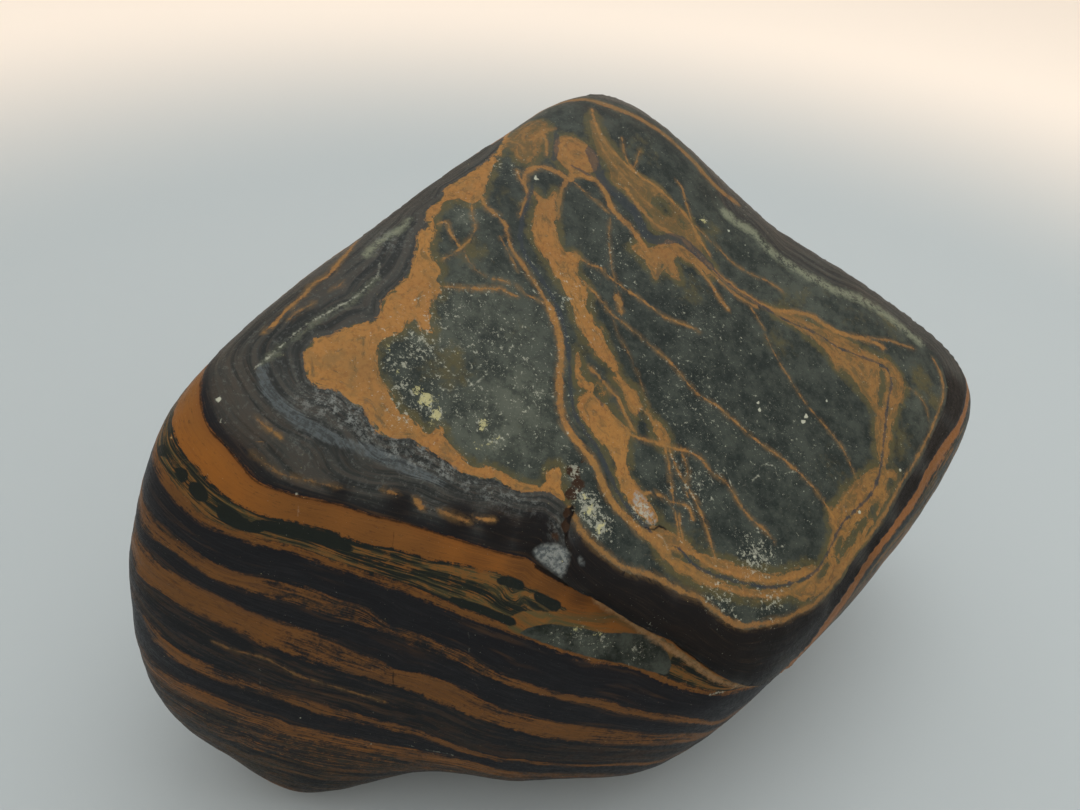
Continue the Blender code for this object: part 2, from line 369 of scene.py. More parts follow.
# Blue-black seams, dark lines and slots.
DARK_SEAMS = {
    "first_seam": (
        6.5,
        1.0,
        "527,203 523,214 521,228 521,244 528,260 541,278 553,298 561,318 566,335 569,362 570,384 572,401"
        " 577,417 585,431 594,443 603,459 610,476 618,492 628,507 639,519 651,531",
    ),
    "second_seam": (
        13.0,
        0.9,
        "590,150 596,166 603,180 613,191 625,202 636,214 643,228 650,238 663,240 677,238 688,245 700,256"
        " 711,267",
    ),
    "second_seam_tail": (
        4.0,
        0.9,
        "711,267 722,278 739,291 757,303 775,314 799,326 818,334 838,347 858,355 878,363",
    ),
    "field_line": (4.6, 0.95, "878,363 888,370 892,384 889,397 887,410 884,439 880,469 875,487 867,499"),
    "corner_line": (
        5.0,
        0.95,
        "867,499 854,512 842,524 834,540 827,554 818,568 806,578 789,584 769,587 749,584 729,579 710,573"
        " 696,566 686,556 678,548",
    ),
    "apex_slot": (8.0, 0.8, "557,134 556,146 554,160"),
    "arch_dark": (7.0, 0.8, "532,186 529,198 526,210"),
    "patch_gap": (5.0, 0.8, "572,166 580,170 590,175"),
    "lens_dark": (5.0, 0.8, "638,410 642,420 648,430"),
    "far_dark": (4.0, 0.7, "595,395 602,404 606,412"),
}
# Dark cracks, and painted shade: the crack's shadowed notch and the shadow lines under the ledge and atop the
# wide amber bed.
DARK_CRACKS_AND_SHADE = {
    "crack": (8.0, 1.0, "572,508 567,522 566,536 571,548"),
    "ledge_shade": (
        6.0,
        0.95,
        "536,566 556,578 574,589 597,598 613,608 624,614 648,628 670,640 693,656 716,672 730,679 742,683"
        " 760,681 776,674 790,666",
    ),
    "contact_shadow": (
        2.4,
        0.8,
        "239,333 219,350 206,366 201,384 201,403 208,427 226,447 240,464 257,482 280,491 304,498 338,505"
        " 372,516 407,524 451,538 500,553 525,559",
    ),
    "fault": (1.6, 1.0, "394,670 393,678 394,688"),
    "amber_crack": (1.0, 0.7, "394,532 393,541 392,549"),
    "grain_crack": (1.8, 0.9, "223,733 246,737 270,740 292,743"),
    "pit_line": (2.5, 1.0, "645,527 653,530 659,526 666,530"),
}
# Painted light: a pale tan strip for the lit, upward-facing edge of the shelf right under the ledge.
LIT_SHELF_EDGES = {
    "lit_shelf_edge": (9.0, 0.75, "596,606 612,615 626,623 648,638 670,651 692,665 714,680 728,687"),
    "lit_shelf_tip": (5.0, 0.7, "728,688 742,691 758,690 774,683 790,674"),
}
# Pale streaks with no clear edge.
SOFT_STREAKS = {
    "green_streak": (
        12.0,
        0.8,
        "724,212 739,224 753,233 765,245 779,258 799,271 818,281 838,291 858,298 874,307 890,318 905,330"
        " 921,342",
    ),
    "shoulder_streak_top": (7.0, 0.9, "366,256 375,245 386,238 400,229 409,220"),
    "shoulder_haze": (5.0, 0.5, "262,364 290,340 320,318 353,300 377,278"),
}
# Pale lines: mineral streaks, scratches and hairline cracks, and a painted highlight along the right flank.
PALE_LINES = {
    "shoulder_streak": (
        3.2,
        0.8,
        "253,370 264,361 277,350 290,338 301,328 317,318 335,309 353,298 364,289 377,276 380,262",
    ),
    "stain_rim": (2.0, 0.9, "438,387 452,390 465,388 478,382 486,374 489,366"),
    "chert_arc": (1.8, 0.8, "534,390 544,394 556,392"),
    "chert_dash": (1.6, 0.8, "559,447 566,446 571,448"),
    "white_crack_a": (1.6, 0.9, "739,488 753,481 761,471 759,466 767,464 775,467 777,474 787,473 797,472"),
    "white_crack_b": (1.4, 0.8, "718,472 725,467 727,474 732,487"),
    "lip_crack_a": (2.2, 1.0, "712,698 731,695 746,690 752,684"),
    "lip_crack_b": (3.4, 0.9, "761,677 771,675 784,669 793,663"),
    "flank_highlight": (1.6, 0.7, "854,582 840,604 826,622 818,633"),
    "side_scratch_a": (0.9, 0.5, "235,723 246,716 258,711"),
    "side_scratch_b": (0.9, 0.5, "260,676 261,694"),
    "side_scratch_c": (1.0, 0.9, "399,742 413,746 431,750 454,755"),
    "side_scratch_d": (0.9, 0.35, "421,664 425,671 431,677"),
    "side_scratch_e": (1.0, 0.3, "468,630 469,641 469,652"),
    "side_scratch_f": (1.0, 0.3, "474,678 478,689 483,699"),
    "white_chip_tail": (0.9, 0.35, "299,496 299,508 298,519"),
    "pit_lip": (3.0, 0.5, "656,534 664,540 668,550"),
}

# Round spots with a soft edge: place, radius in pixels and strength.
PALE_SPECKLE = (
    (428, 402, 12, 1.0), (437, 414, 9, 1.0), (482, 427, 11, 0.8), (497, 440, 10, 0.8), (395, 362, 18, 0.7),
    (404, 384, 14, 0.7), (590, 508, 16, 1.4), (602, 526, 14, 1.2), (580, 496, 10, 1.2), (573, 470, 14, 0.7),
    (757, 556, 26, 0.9), (720, 600, 24, 0.7), (770, 606, 24, 0.6), (600, 340, 20, 0.3), (480, 330, 40, 0.25),
    (540, 440, 30, 0.3), (510, 400, 34, 0.25), (700, 400, 60, 0.35), (620, 260, 40, 0.35),
    (700, 320, 40, 0.35),
    (580, 637, 16, 0.9), (600, 645, 16, 0.9), (640, 655, 18, 0.9), (556, 640, 12, 0.8), (640, 510, 12, 1.2),
    (650, 620, 16, 0.5), (745, 210, 20, 0.5), (505, 168, 18, 0.5), (470, 215, 16, 0.4), (780, 440, 60, 0.2),
    (500, 350, 60, 0.45), (470, 400, 50, 0.45), (530, 400, 40, 0.4), (420, 350, 36, 0.7), (450, 310, 36, 0.5),
    (400, 410, 30, 0.6), (560, 300, 40, 0.4), (690, 480, 40, 0.5),
)
WHITE_FLECKS = (
    (755, 396, 2.2), (758, 402, 2.4), (759, 410, 2.4), (806, 416, 3.0), (803, 422, 2.6), (826, 400, 2.2),
    (658, 472, 2.2), (740, 547, 2.0), (754, 558, 2.6), (687, 361, 2.2), (668, 383, 1.8), (299, 493, 3.4),
    (218, 400, 3.6), (223, 421, 3.0), (219, 376, 1.8), (299, 436, 1.2), (389, 702, 2.0), (363, 743, 1.8),
    (371, 744, 1.6), (300, 718, 1.4), (512, 759, 2.2), (595, 758, 1.8), (627, 744, 1.6), (630, 750, 1.6),
    (692, 706, 1.8), (660, 736, 1.4), (173, 411, 2.6), (175, 428, 1.8), (690, 614, 1.4), (470, 577, 2.0),
    (573, 593, 2.0), (397, 497, 1.6), (563, 776, 1.8), (746, 612, 1.4), (728, 231, 2.6), (745, 246, 2.0),
    (707, 221, 2.0), (415, 300, 1.6), (438, 317, 2.0), (860, 512, 2.4), (900, 470, 2.0), (536, 178, 3.0),
)
YELLOW_CLUSTERS = (
    (428, 400, 11, 1.0), (437, 414, 9, 1.0), (418, 392, 7, 0.9), (432, 425, 7, 0.7), (482, 425, 9, 0.8),
    (492, 440, 9, 0.7), (476, 446, 7, 0.6), (388, 350, 7, 0.7), (400, 368, 8, 0.6), (395, 335, 8, 0.6),
    (590, 512, 10, 0.8), (600, 524, 9, 0.7), (583, 498, 8, 0.7), (598, 636, 8, 0.6), (577, 630, 8, 0.6),
    (512, 446, 8, 0.5), (540, 470, 10, 0.4), (705, 222, 10, 0.5), (560, 560, 6, 0.5),
)
OLIVE_STAINS = (
    (449, 366, 34, 0.62), (358, 366, 26, 0.9), (520, 330, 18, 0.5), (470, 250, 24, 0.6), (690, 290, 26, 0.5),
    (640, 150, 24, 0.6), (600, 140, 20, 0.5), (780, 340, 26, 0.5), (712, 232, 20, 0.6), (540, 205, 20, 0.5),
    (860, 330, 30, 0.5), (500, 190, 20, 0.4), (800, 300, 40, 0.45), (700, 540, 16, 0.5), (830, 470, 30, 0.3),
    (700, 160, 30, 0.4), (920, 380, 20, 0.8), (900, 440, 20, 0.7), (935, 400, 14, 0.8), (380, 405, 18, 0.7),
    (400, 425, 18, 0.6), (345, 345, 14, 0.4), (430, 275, 12, 0.5), (455, 195, 12, 0.4), (890, 320, 24, 0.5),
)
PALE_CHERT = (
    (440, 330, 40, 0.5), (480, 300, 40, 0.6), (520, 400, 46, 0.9), (500, 440, 40, 0.9), (550, 450, 30, 0.6),
    (460, 430, 30, 0.6), (470, 222, 16, 0.9), (520, 330, 30, 0.5), (590, 640, 30, 0.6), (745, 220, 30, 0.5),
    (800, 300, 60, 0.3), (920, 400, 30, 0.4),
)
# Silvery laminae of the shoulder with painted sheen over them.
SILVER_SHEEN_STREAKS = (
    (310, 398, 16, 0.7), (330, 404, 18, 1.0), (350, 415, 18, 1.0), (368, 432, 14, 0.9), (395, 448, 14, 0.9),
    (420, 458, 14, 1.0), (445, 470, 14, 0.9), (470, 484, 12, 0.7), (388, 240, 16, 0.7), (560, 528, 12, 0.6),
    (490, 492, 12, 0.8), (512, 500, 12, 0.7), (534, 505, 10, 0.5), (300, 440, 10, 0.3),
)
BROWN_SHADE = (
    (230, 390, 26, 0.7), (250, 430, 26, 0.7), (230, 360, 22, 0.6), (400, 205, 30, 0.6), (300, 290, 30, 0.5),
    (440, 170, 24, 0.6), (500, 130, 20, 0.6), (600, 106, 26, 0.8), (720, 190, 26, 0.7), (780, 240, 26, 0.7),
    (860, 290, 26, 0.7), (640, 125, 20, 0.5),
)

# Patches beside the beds.
# A blue-grey band of the shoulder, partly painted sheen.
BLUE_SHEEN_BAND = (
    "258,366 257,381 263,397 277,411 295,426 315,438 335,446 355,453 380,463 405,474 430,482 448,487"
    " 442,479 420,468 400,458 380,449 362,442 344,436 324,427 304,415 288,402 276,391 269,376 268,364"
)
# The facets of the chip: pale grey with painted sheen.
NOTCH_DEPTH = 0.75  # how much fainter the second facet is than the chip
NOTCH_FACET = "573,550 578,547 586,552 590,560 586,567 578,566 574,558"
CHIP_FACET = "532,552 540,545 553,543 567,548 569,558 567,567 563,576 555,573 542,563"
CHERT_LENS = (
    "520,633 534,627 550,624 566,627 582,630 600,635 620,637 640,639 656,643 668,654 673,666 668,677"
    " 655,674 640,670 626,666 601,661 580,655 555,647 536,640"
)
OLIVE_BED = (
    "516,614 530,611 550,612 570,612 590,616 612,617 628,620 647,634 664,646 676,656 672,664 660,650"
    " 640,642 618,640 596,637 574,632 552,628 530,631 518,634 505,624"
)
DARK_PODS = (
    "158,446 165,444 168,452 164,458 158,454",
    "174,470 181,467 188,472 187,480 180,482",
    "188,486 196,481 205,488 209,498 203,502 194,498",
    "216,506 226,505 238,512 250,521 264,527 262,533 244,531 228,525 218,517",
    "250,519 270,520 296,524 330,534 352,545 350,553 324,546 296,538 268,531",
    "498,577 512,577 524,583 522,591 508,587 496,583",
    "446,597 460,598 480,604 500,612 516,620 514,628 498,622 478,613 456,606",
    "536,592 548,596 562,605 556,612 544,607 534,599",
)
# A painted highlight on the amber at the tip.
TIP_HIGHLIGHT = "633,490 641,494 648,504 654,515 656,525 648,523 640,514 634,503"
# The face of the slab above the ledge: black hematite, darkened further by painted shade.
FRONT_SLAB_SHADE = (
    (588, 560, 30, 1.0), (612, 582, 34, 1.0), (645, 606, 38, 1.0), (685, 626, 40, 1.0), (725, 645, 42, 1.0),
    (765, 650, 42, 1.0), (805, 630, 38, 1.0), (845, 596, 36, 1.0), (880, 555, 36, 1.0), (912, 505, 36, 1.0),
    (940, 450, 34, 1.0), (955, 400, 30, 0.9), (500, 528, 26, 0.8), (460, 520, 24, 0.7), (535, 535, 26, 1.0),
    (400, 505, 22, 0.6), (340, 492, 18, 0.5),
)
# Browning of the amber beds: rust in places, and painted shade under the ledge and along the underside.
RUST_AND_SHADE_TINTS = (
    (310, 510, 34, 0.45), (375, 533, 30, 0.4), (430, 548, 30, 0.6), (480, 558, 30, 0.8), (520, 572, 28, 1.0),
    (550, 588, 26, 1.0), (580, 602, 22, 1.0), (610, 612, 20, 0.9), (150, 500, 26, 0.8), (165, 525, 24, 0.6),
    (190, 545, 20, 0.4), (240, 700, 40, 0.4), (560, 775, 60, 0.5), (865, 565, 22, 0.6), (835, 605, 22, 0.8),
)
RUST_PITS = (
    (574, 472, 9, 1.0), (579, 484, 9, 1.0), (571, 494, 8, 1.0), (567, 512, 6, 1.0), (565, 526, 7, 1.0),
    (556, 536, 8, 0.7), (583, 462, 6, 0.6),
)

# What the finish reads, by the name that the stone's points carry it under.
VEINS = {
    "amber": AMBER_VEINS,
    "seam": DARK_SEAMS,
    "dark_crack_and_shade": DARK_CRACKS_AND_SHADE,
    "shelf": LIT_SHELF_EDGES,
    "streak": SOFT_STREAKS,
    "pale": PALE_LINES,
}
PATCHES = {
    "blue_sheen_band": BLUE_SHEEN_BAND,
    "olive_bed": OLIVE_BED,
    "chert_lens": CHERT_LENS,
    "tip_highlight": TIP_HIGHLIGHT,
}
SPOTS = {
    "olive_stain": OLIVE_STAINS,
    "streak_and_sheen": SILVER_SHEEN_STREAKS,
    "pale_chert": PALE_CHERT,
    "rust_and_shade_tint": RUST_AND_SHADE_TINTS,
    "brown_shade": BROWN_SHADE,
    "pale_speckle": PALE_SPECKLE,
    "yellow_cluster": YELLOW_CLUSTERS,
    "rust_pits": RUST_PITS,
    "front_slab_shade": FRONT_SLAB_SHADE,
}


def points(text):
    """The pixel pairs of a line written as "x,y x,y"."""
    return np.array([[float(value) for value in pair.split(",")] for pair in text.split()])


def smooth_line(corners, closed=False, step=3.0):
    """A Catmull-Rom curve through the corners, with a point about every step pixels."""
    corners = np.asarray(corners, float)
    if closed:
        padded = np.vstack([corners[-1:], corners, corners[:2]])
    else:
        padded = np.vstack([2 * corners[:1] - corners[1:2], corners, 2 * corners[-1:] - corners[-2:-1]])
    made = []
    for a, b, c, d in zip(padded, padded[1:], padded[2:], padded[3:]):
        count = max(1, int(np.ceil(np.linalg.norm(c - b) / step)))
        t = (np.arange(count) / count)[:, None]
        bend, sway = 2 * a - 5 * b + 4 * c - d, 3 * b - a - 3 * c + d
        made.append(0.5 * (2 * b + (c - a) * t + bend * t**2 + sway * t**3))
    if not closed:
        made.append(corners[-1:])
    return np.vstack(made)


def camera_turn():
    """The rotation of the photograph's camera: it looks along +Y, down, and leans a little."""
    return Euler((math.pi / 2 - LOOK_DOWN, 0, 0)).to_matrix() @ Matrix.Rotation(LEAN, 3, "Z")


CAMERA_AXES = np.array(camera_turn())
EYE = np.array(CAMERA_PLACE) / MM


def pixel_of(places):
    """The pixels of the photograph at which these places on the stone stand, and their depths."""
    seen = (places - EYE) @ CAMERA_AXES
    depth = -seen[:, 2]
    across = PHOTO_SIZE[0] / 2 + FOCAL_PIXELS * seen[:, 0] / depth
    down = PHOTO_SIZE[1] / 2 - FOCAL_PIXELS * seen[:, 1] / depth
    return np.stack([across, down], 1), depth


def tree_of(places):
    """A search tree that finds the nearest of these places."""
    tree = KDTree(len(places))
    for number, place in enumerate(places):
        tree.insert(place, number)
    tree.balance()
    return tree


TURNED_AWAY = 0.3  # a surface that faces the camera less squarely than this carries no exact line
EVENING_PASSES = 120  # passes that even out a line there
SEARCH_DEPTHS = np.linspace(90, 300, 60)  # depths tried for a pixel just off the outline
SHORTEST = 1e-6  # a shorter piece of a line has no direction


class Stone:
    """The stone's points, with what the markings are measured against."""

    def __init__(self, mesh):
        count = len(mesh.vertices)
        self.places = np.empty(count * 3)
        mesh.vertices.foreach_get("co", self.places)
        self.places = self.places.reshape(-1, 3) / MM
        self.normals = np.empty(count * 3)
        mesh.vertices.foreach_get("normal", self.normals)
        self.normals = self.normals.reshape(-1, 3)
        self.pixels = pixel_of(self.places)[0]
        self.facing = ((EYE - self.places) * self.normals).sum(1) > 0
        corners = [Vector(place) for place in self.places]
        self.tree = BVHTree.FromPolygons(corners, [tuple(face.vertices) for face in mesh.polygons])

    def hit(self, across, down):
        """The place on the stone behind a pixel, and how squarely it faces the camera.

        A pixel just off the outline goes to the nearest edge.
        """
        eye = Vector(EYE)
        right, up = across - PHOTO_SIZE[0] / 2, PHOTO_SIZE[1] / 2 - down
        ray = (Matrix(CAMERA_AXES) @ Vector((right / FOCAL_PIXELS, up / FOCAL_PIXELS, -1))).normalized()
        place, normal, _, _ = self.tree.ray_cast(eye, ray)
        if place is not None:
            return place, abs(normal.dot(ray))
        tries = [self.tree.find_nearest(eye + ray * depth) for depth in SEARCH_DEPTHS]
        return min(tries, key=lambda found: found[3])[0], 0.0

    def carry(self, pixels):
        """The places on the stone behind these pixels."""
        return np.array([self.hit(across, down)[0] for across, down in pixels])

    def carry_line(self, pixels, closed=False):
        """A line of pixels on the stone, evened out where the stone turns away from the camera."""
        hits = [self.hit(across, down) for across, down in pixels]
        line = np.array([place for place, _ in hits])
        loose = np.array([square for _, square in hits]) < TURNED_AWAY
        if loose.sum() < 3:
            return line
        for _ in range(EVENING_PASSES):
            before, after = np.roll(line, 1, 0), np.roll(line, -1, 0)
            if not closed:
                before[0], after[-1] = line[0], line[-1]
            line = np.where(loose[:, None], 0.5 * line + 0.25 * (before + after), line)
        for number in np.nonzero(loose)[0]:
            line[number] = self.tree.find_nearest(Vector(line[number]))[0]
        return line

    def away_from(self, line):
        """Each point's distance from the nearest of a line's points."""
        tree = tree_of(line)
        return np.array([tree.find(place)[2] for place in self.places])

    def near(self, line, reach):
        """The numbers of the points within reach of a line's box."""
        low, high = line.min(0) - reach, line.max(0) + reach
        return np.nonzero(((self.places > low) & (self.places < high)).all(1))[0]

    def from_line(self, chosen, line):
        """For the chosen points: distance from the line, side of it, and how far past its ends."""
        best = np.full(len(chosen), np.inf)
        side = np.zeros(len(chosen))
        past = np.zeros(len(chosen))
        places, normals = self.places[chosen], self.normals[chosen]
        for number, (start, end) in enumerate(zip(line, line[1:])):
            along = end - start
            length = np.linalg.norm(along)
            if length < SHORTEST:
                continue
            along = along / length
            offset = places - start
            run = offset @ along
            inside = np.clip(run, 0, length)
            apart = np.linalg.norm(offset - inside[:, None] * along, axis=1)
            square = offset - run[:, None] * along
            closer = apart < best
            best[closer] = apart[closer]
            turn = (np.cross(along, square) * normals).sum(1)
            side[closer] = (np.sign(turn) * np.linalg.norm(square, axis=1))[closer]
            over = np.zeros(len(chosen))
            if number == 0:
                over = np.maximum(over, -run)
            if number == len(line) - 2:
                over = np.maximum(over, run - length)
            past[closer] = over[closer]
        return best, side, past


FAR = 9.0  # the distance given to points out of reach
VEIN_REACH = 4.0  # how far from a vein its distances are measured
VEIN_CLEARANCE = 3.5  # veins nearer to each other than this go to different groups
VEIN_SKIRT = 1.3  # past this distance outside its edge, a vein fades faster


def vein_fields(stone, veins):
    """Shares the veins out into groups in which none comes near another, and measures each group.

    Each group gives a vector at every point: distance to the side of the vein, half width and strength.
    """
    traced = []
    for width, strength, text in veins.values():
        line = stone.carry_line(smooth_line(points(text)))
        depth = pixel_of(line)[1].mean()
        traced.append((line, 0.5 * width * depth / FOCAL_PIXELS, strength))
    groups = []
    for line, half, strength in traced:
        for group in groups:
            gaps = [np.linalg.norm(line[:, None] - other[None], axis=2).min() for other, _, _ in group]
            if min(gaps) > VEIN_CLEARANCE:
                group.append((line, half, strength))
                break
        else:
            groups.append([(line, half, strength)])
    fields = []
    for group in groups:
        field = np.tile([FAR, -FAR, 0.0], (len(stone.places), 1))
        closest = np.full(len(stone.places), np.inf)
        for line, half, strength in group:
            chosen = stone.near(line, VEIN_REACH)
            apart, side, past = stone.from_line(chosen, line)
            room = half - past - 2 * np.maximum(0, apart - half - VEIN_SKIRT)
            better = apart < closest[chosen]
            numbers = chosen[better]
            closest[numbers] = apart[better]
            field[numbers] = np.stack([side, room, np.full(len(side), strength)], 1)[better]
        fields.append(field)
    return fields


def inside_outline(pixels, outline):
    """Which pixels lie inside a closed outline."""
    within = np.zeros(len(pixels), bool)
    x, y = pixels[:, 0], pixels[:, 1]
    for (x0, y0), (x1, y1) in zip(outline, np.roll(outline, -1, 0)):
        if y0 == y1:
            continue
        crosses = (y0 > y) != (y1 > y)
        within ^= crosses & (x < (x1 - x0) * (y - y0) / (y1 - y0) + x0)
    return within


def patch_field(stone, text, reach=3.0):
    """Distance inside the edge of a patch at every point, and negative outside it."""
    outline = smooth_line(points(text), closed=True)
    line = stone.carry_line(outline, closed=True)
    line = np.vstack([line, line[:1]])
    apart = np.full(len(stone.places), FAR)
    chosen = stone.near(line, reach)
    apart[chosen] = np.minimum(stone.from_line(chosen, line)[0], FAR)
    within = inside_outline(stone.pixels, outline) & stone.facing
    return np.where(within, apart, -apart)


def spots_field(stone, spots):
    """The strongest of the soft round spots at every point."""
    total = np.zeros(len(stone.places))
    places = stone.carry([(x, y) for x, y, _, _ in spots])
    depths = pixel_of(places)[1]
    for place, depth, (_, _, radius, strength) in zip(places, depths, spots):
        away = np.linalg.norm(stone.places - place, axis=1) / (radius * depth / FOCAL_PIXELS)
        total = np.maximum(total, strength * np.exp(-(away**2)))
    return total


def fleck_field(stone, flecks):
    """Distance inside the nearest of the small hard flecks, and negative outside them."""
    best = np.full(len(stone.places), -FAR)
    places = stone.carry([(x, y) for x, y, _ in flecks])
    depths = pixel_of(places)[1]
    for place, depth, (_, _, radius) in zip(places, depths, flecks):
        away = np.linalg.norm(stone.places - place, axis=1)
        best = np.maximum(best, radius * depth / FOCAL_PIXELS - away)
    return best


def bedding_axes():
    """Two directions along the beds and the one in which they are stacked."""
    along = STACKING.cross(Vector((0, 0, 1))).normalized()
    return np.array(along), np.array(STACKING.cross(along)), np.array(STACKING)


ROUND_STEPS = 1440  # steps all the way round the stone for a boundary between two beds
SEEN_GAP = math.radians(2)  # a step farther than this from the traced line counts as hidden
SEEN_BLUR, HIDDEN_BLUR = 0.5, 9.0  # degrees over which the seen and the hidden part are smoothed
CHANGE_BLUR = 4.0  # degrees over which the one passes into the other
SMALL_GAP = 0.5  # a gap in the angles smaller than this, in radians, isn't the hidden side
SWAY_WAVES, SWAY_SHIFT = 3, 1.3  # the hidden sway's waves around the stone, and its turn from bed to bed
THINNEST_BED = 0.15


def blurred(values, degrees):
    """Values at even steps all the way round, blurred over this many degrees."""
    waves = np.fft.rfftfreq(len(values), d=360 / len(values))
    fade = np.exp(-2 * (math.pi * waves * degrees) ** 2)
    return np.fft.irfft(np.fft.rfft(values) * fade, len(values))


def all_round(line_angle, line_height):
    """A boundary's height all the way round: as traced where it is seen, and running smoothly behind."""
    steps = np.linspace(-math.pi, math.pi, ROUND_STEPS, endpoint=False)
    order = np.argsort(line_angle)
    raw = np.interp(steps, line_angle[order], line_height[order], period=2 * math.pi)
    gaps = np.abs((steps[:, None] - line_angle[None] + math.pi) % (2 * math.pi) - math.pi).min(1)
    hidden = np.clip(2 * blurred((gaps > SEEN_GAP).astype(float), CHANGE_BLUR), 0, 1)
    return steps, (1 - hidden) * blurred(raw, SEEN_BLUR) + hidden * blurred(raw, HIDDEN_BLUR)


def bed_curve(line_angle, line_height, angle, number):
    """A boundary's height at these angles, with a slow sway on the side that the camera doesn't see."""
    steps, heights = all_round(line_angle, line_height)
    curve = np.interp(angle, steps, heights, period=2 * math.pi)
    gap_start, gap_end = line_angle.max(), line_angle.min() + 2 * math.pi
    if gap_end - gap_start < SMALL_GAP:
        gap_start, gap_end = gap_end, gap_start
    hidden = np.clip(((angle - gap_start) % (2 * math.pi)) / max(gap_end - gap_start, 0.1), 0, 1)
    window = np.where(hidden < 1, np.sin(math.pi * hidden) ** 2, 0)
    return curve + BED_HIDDEN_SWAY * window * np.sin(SWAY_WAVES * angle + SWAY_SHIFT * number)


def bed_fields(stone):
    """Each point's place in the bedding: two axes along the beds and its level among the boundaries."""
    first, second, up = bedding_axes()
    middle = np.array(MIDDLE)

    def around(places):
        rest = places - middle
        return np.arctan2(rest @ second, rest @ first), rest @ up, np.hypot(rest @ first, rest @ second)

    angle, height, radius = around(stone.places)
    blend = np.clip(radius / UNDERSIDE_REACH, 0, 1) ** 2
    curves = []
    for number, text in enumerate(BED_LINES.values()):
        line_angle, line_height, _ = around(stone.carry_line(smooth_line(points(text), step=4.0)))
        curve = bed_curve(line_angle, line_height, angle, number)
        curves.append(curve.mean() + (curve - curve.mean()) * blend)
    for number in range(1, len(curves)):
        curves[number] = np.minimum(curves[number], curves[number - 1] - THINNEST_BED)
    levels = list(BED_LEVELS.values())
    level = levels[-1] + height - curves[-1]
    for number in range(len(curves) - 2, -1, -1):
        share = (height - curves[number + 1]) / (curves[number] - curves[number + 1])
        between = levels[number + 1] + np.clip(share, 0, 1) * (levels[number] - levels[number + 1])
        level = np.where(height > curves[number + 1], between, level)
    above = np.maximum(height - curves[0], 0)
    apart = stone.away_from(stone.carry_line(smooth_line(points(TOP_OUTLINE), closed=True), closed=True))
    shoulder = SHOULDER_SPAN * above / (above + SHOULDER_SHARE * apart + 0.01)
    level = np.where(height > curves[0], shoulder, level)
    rest = stone.places - middle
    return np.stack([rest @ first, rest @ second, level], 1)


class Recipe:
    """A material's nodes, written as sums."""

    def __init__(self, name):
        self.material = bpy.data.materials.new(name)
        self.material.use_nodes = True
        self.nodes = self.material.node_tree.nodes
        self.links = self.material.node_tree.links
        self.finish = self.nodes["Principled BSDF"]
        self.place = self.nodes.new("ShaderNodeTexCoord").outputs["Object"]

    def feed(self, socket, value):
        if isinstance(value, bpy.types.NodeSocket):
            self.links.new(value, socket)
        else:
            socket.default_value = value

    def math(self, operation, *values):
        node = self.nodes.new("ShaderNodeMath")
        node.operation = operation
        for socket, value in zip(node.inputs, values):
            self.feed(socket, value)
        return node.outputs[0]

    def add(self, first, *others):
        second = others[0] if len(others) == 1 else self.add(*others)
        return self.math("ADD", first, second)

    def take(self, first, second):
        return self.math("SUBTRACT", first, second)

    def times(self, first, second):
        return self.math("MULTIPLY", first, second)

    def most(self, first, second):
        return self.math("MAXIMUM", first, second)

    def least(self, first, second):
        return self.math("MINIMUM", first, second)

    def centred(self, value):
        """A noise shifted to run above and below zero."""
        return self.take(value, 0.5)

    def soft(self, value, low, high, to_low=0.0, to_high=1.0):
        """A smooth step from to_low to to_high as the value passes from low to high."""
        node = self.nodes.new("ShaderNodeMapRange")
        node.interpolation_type = "SMOOTHSTEP"
        for socket, given in zip(node.inputs, (value, low, high, to_low, to_high)):
            self.feed(socket, given)
        return node.outputs[0]

    def point_value(self, name, output="Fac"):
        """What the mesh's points carry under this name."""
        node = self.nodes.new("ShaderNodeAttribute")
        node.attribute_name = name
        return node.outputs[output]

    def split(self, vector):
        node = self.nodes.new("ShaderNodeSeparateXYZ")
        self.feed(node.inputs[0], vector)
        return node.outputs

    def stretched(self, vector, scale):
        """The vector with each axis multiplied by its own scale."""
        node = self.nodes.new("ShaderNodeVectorMath")
        node.operation = "MULTIPLY"
        self.feed(node.inputs[0], vector)
        node.inputs[1].default_value = scale
        return node.outputs[0]

    def noise(self, vector, scale, detail=3.0, rough=0.55, twist=0.0):
        node = self.nodes.new("ShaderNodeTexNoise")
        self.feed(node.inputs["Vector"], vector)
        node.inputs["Scale"].default_value = scale
        node.inputs["Detail"].default_value = detail
        node.inputs["Roughness"].default_value = rough
        node.inputs["Distortion"].default_value = twist
        return node.outputs["Fac"]

    def mix(self, share, first, second):
        node = self.nodes.new("ShaderNodeMix")
        node.data_type = "RGBA"
        self.feed(node.inputs[0], share)
        for socket, colour in zip(node.inputs[6:8], (first, second)):
            self.feed(socket, colour)
        return node.outputs[2]

    def over(self, under, colour, share, strength):
        """A colour laid over what is under it, by a share of this strength."""
        return self.mix(self.times(share, strength), under, colour)

    def ramp(self, value, stops):
        """A colour for each value between the stops, which are pairs of place and colour."""
        node = self.nodes.new("ShaderNodeValToRGB")
        self.feed(node.inputs[0], value)
        elements = node.color_ramp.elements
        while len(elements) > 1:
            elements.remove(elements[-1])
        elements[0].position, elements[0].color = stops[0]
        for place, colour in stops[1:]:
            elements.new(place).color = colour
        return node.outputs[0]

    def bump(self, height, strength, distance):
        node = self.nodes.new("ShaderNodeBump")
        self.feed(node.inputs["Height"], height)
        node.inputs["Strength"].default_value = strength
        node.inputs["Distance"].default_value = distance
        return node.outputs[0]


def opaque(colour):
    return (colour[0], colour[1], colour[2], 1.0)


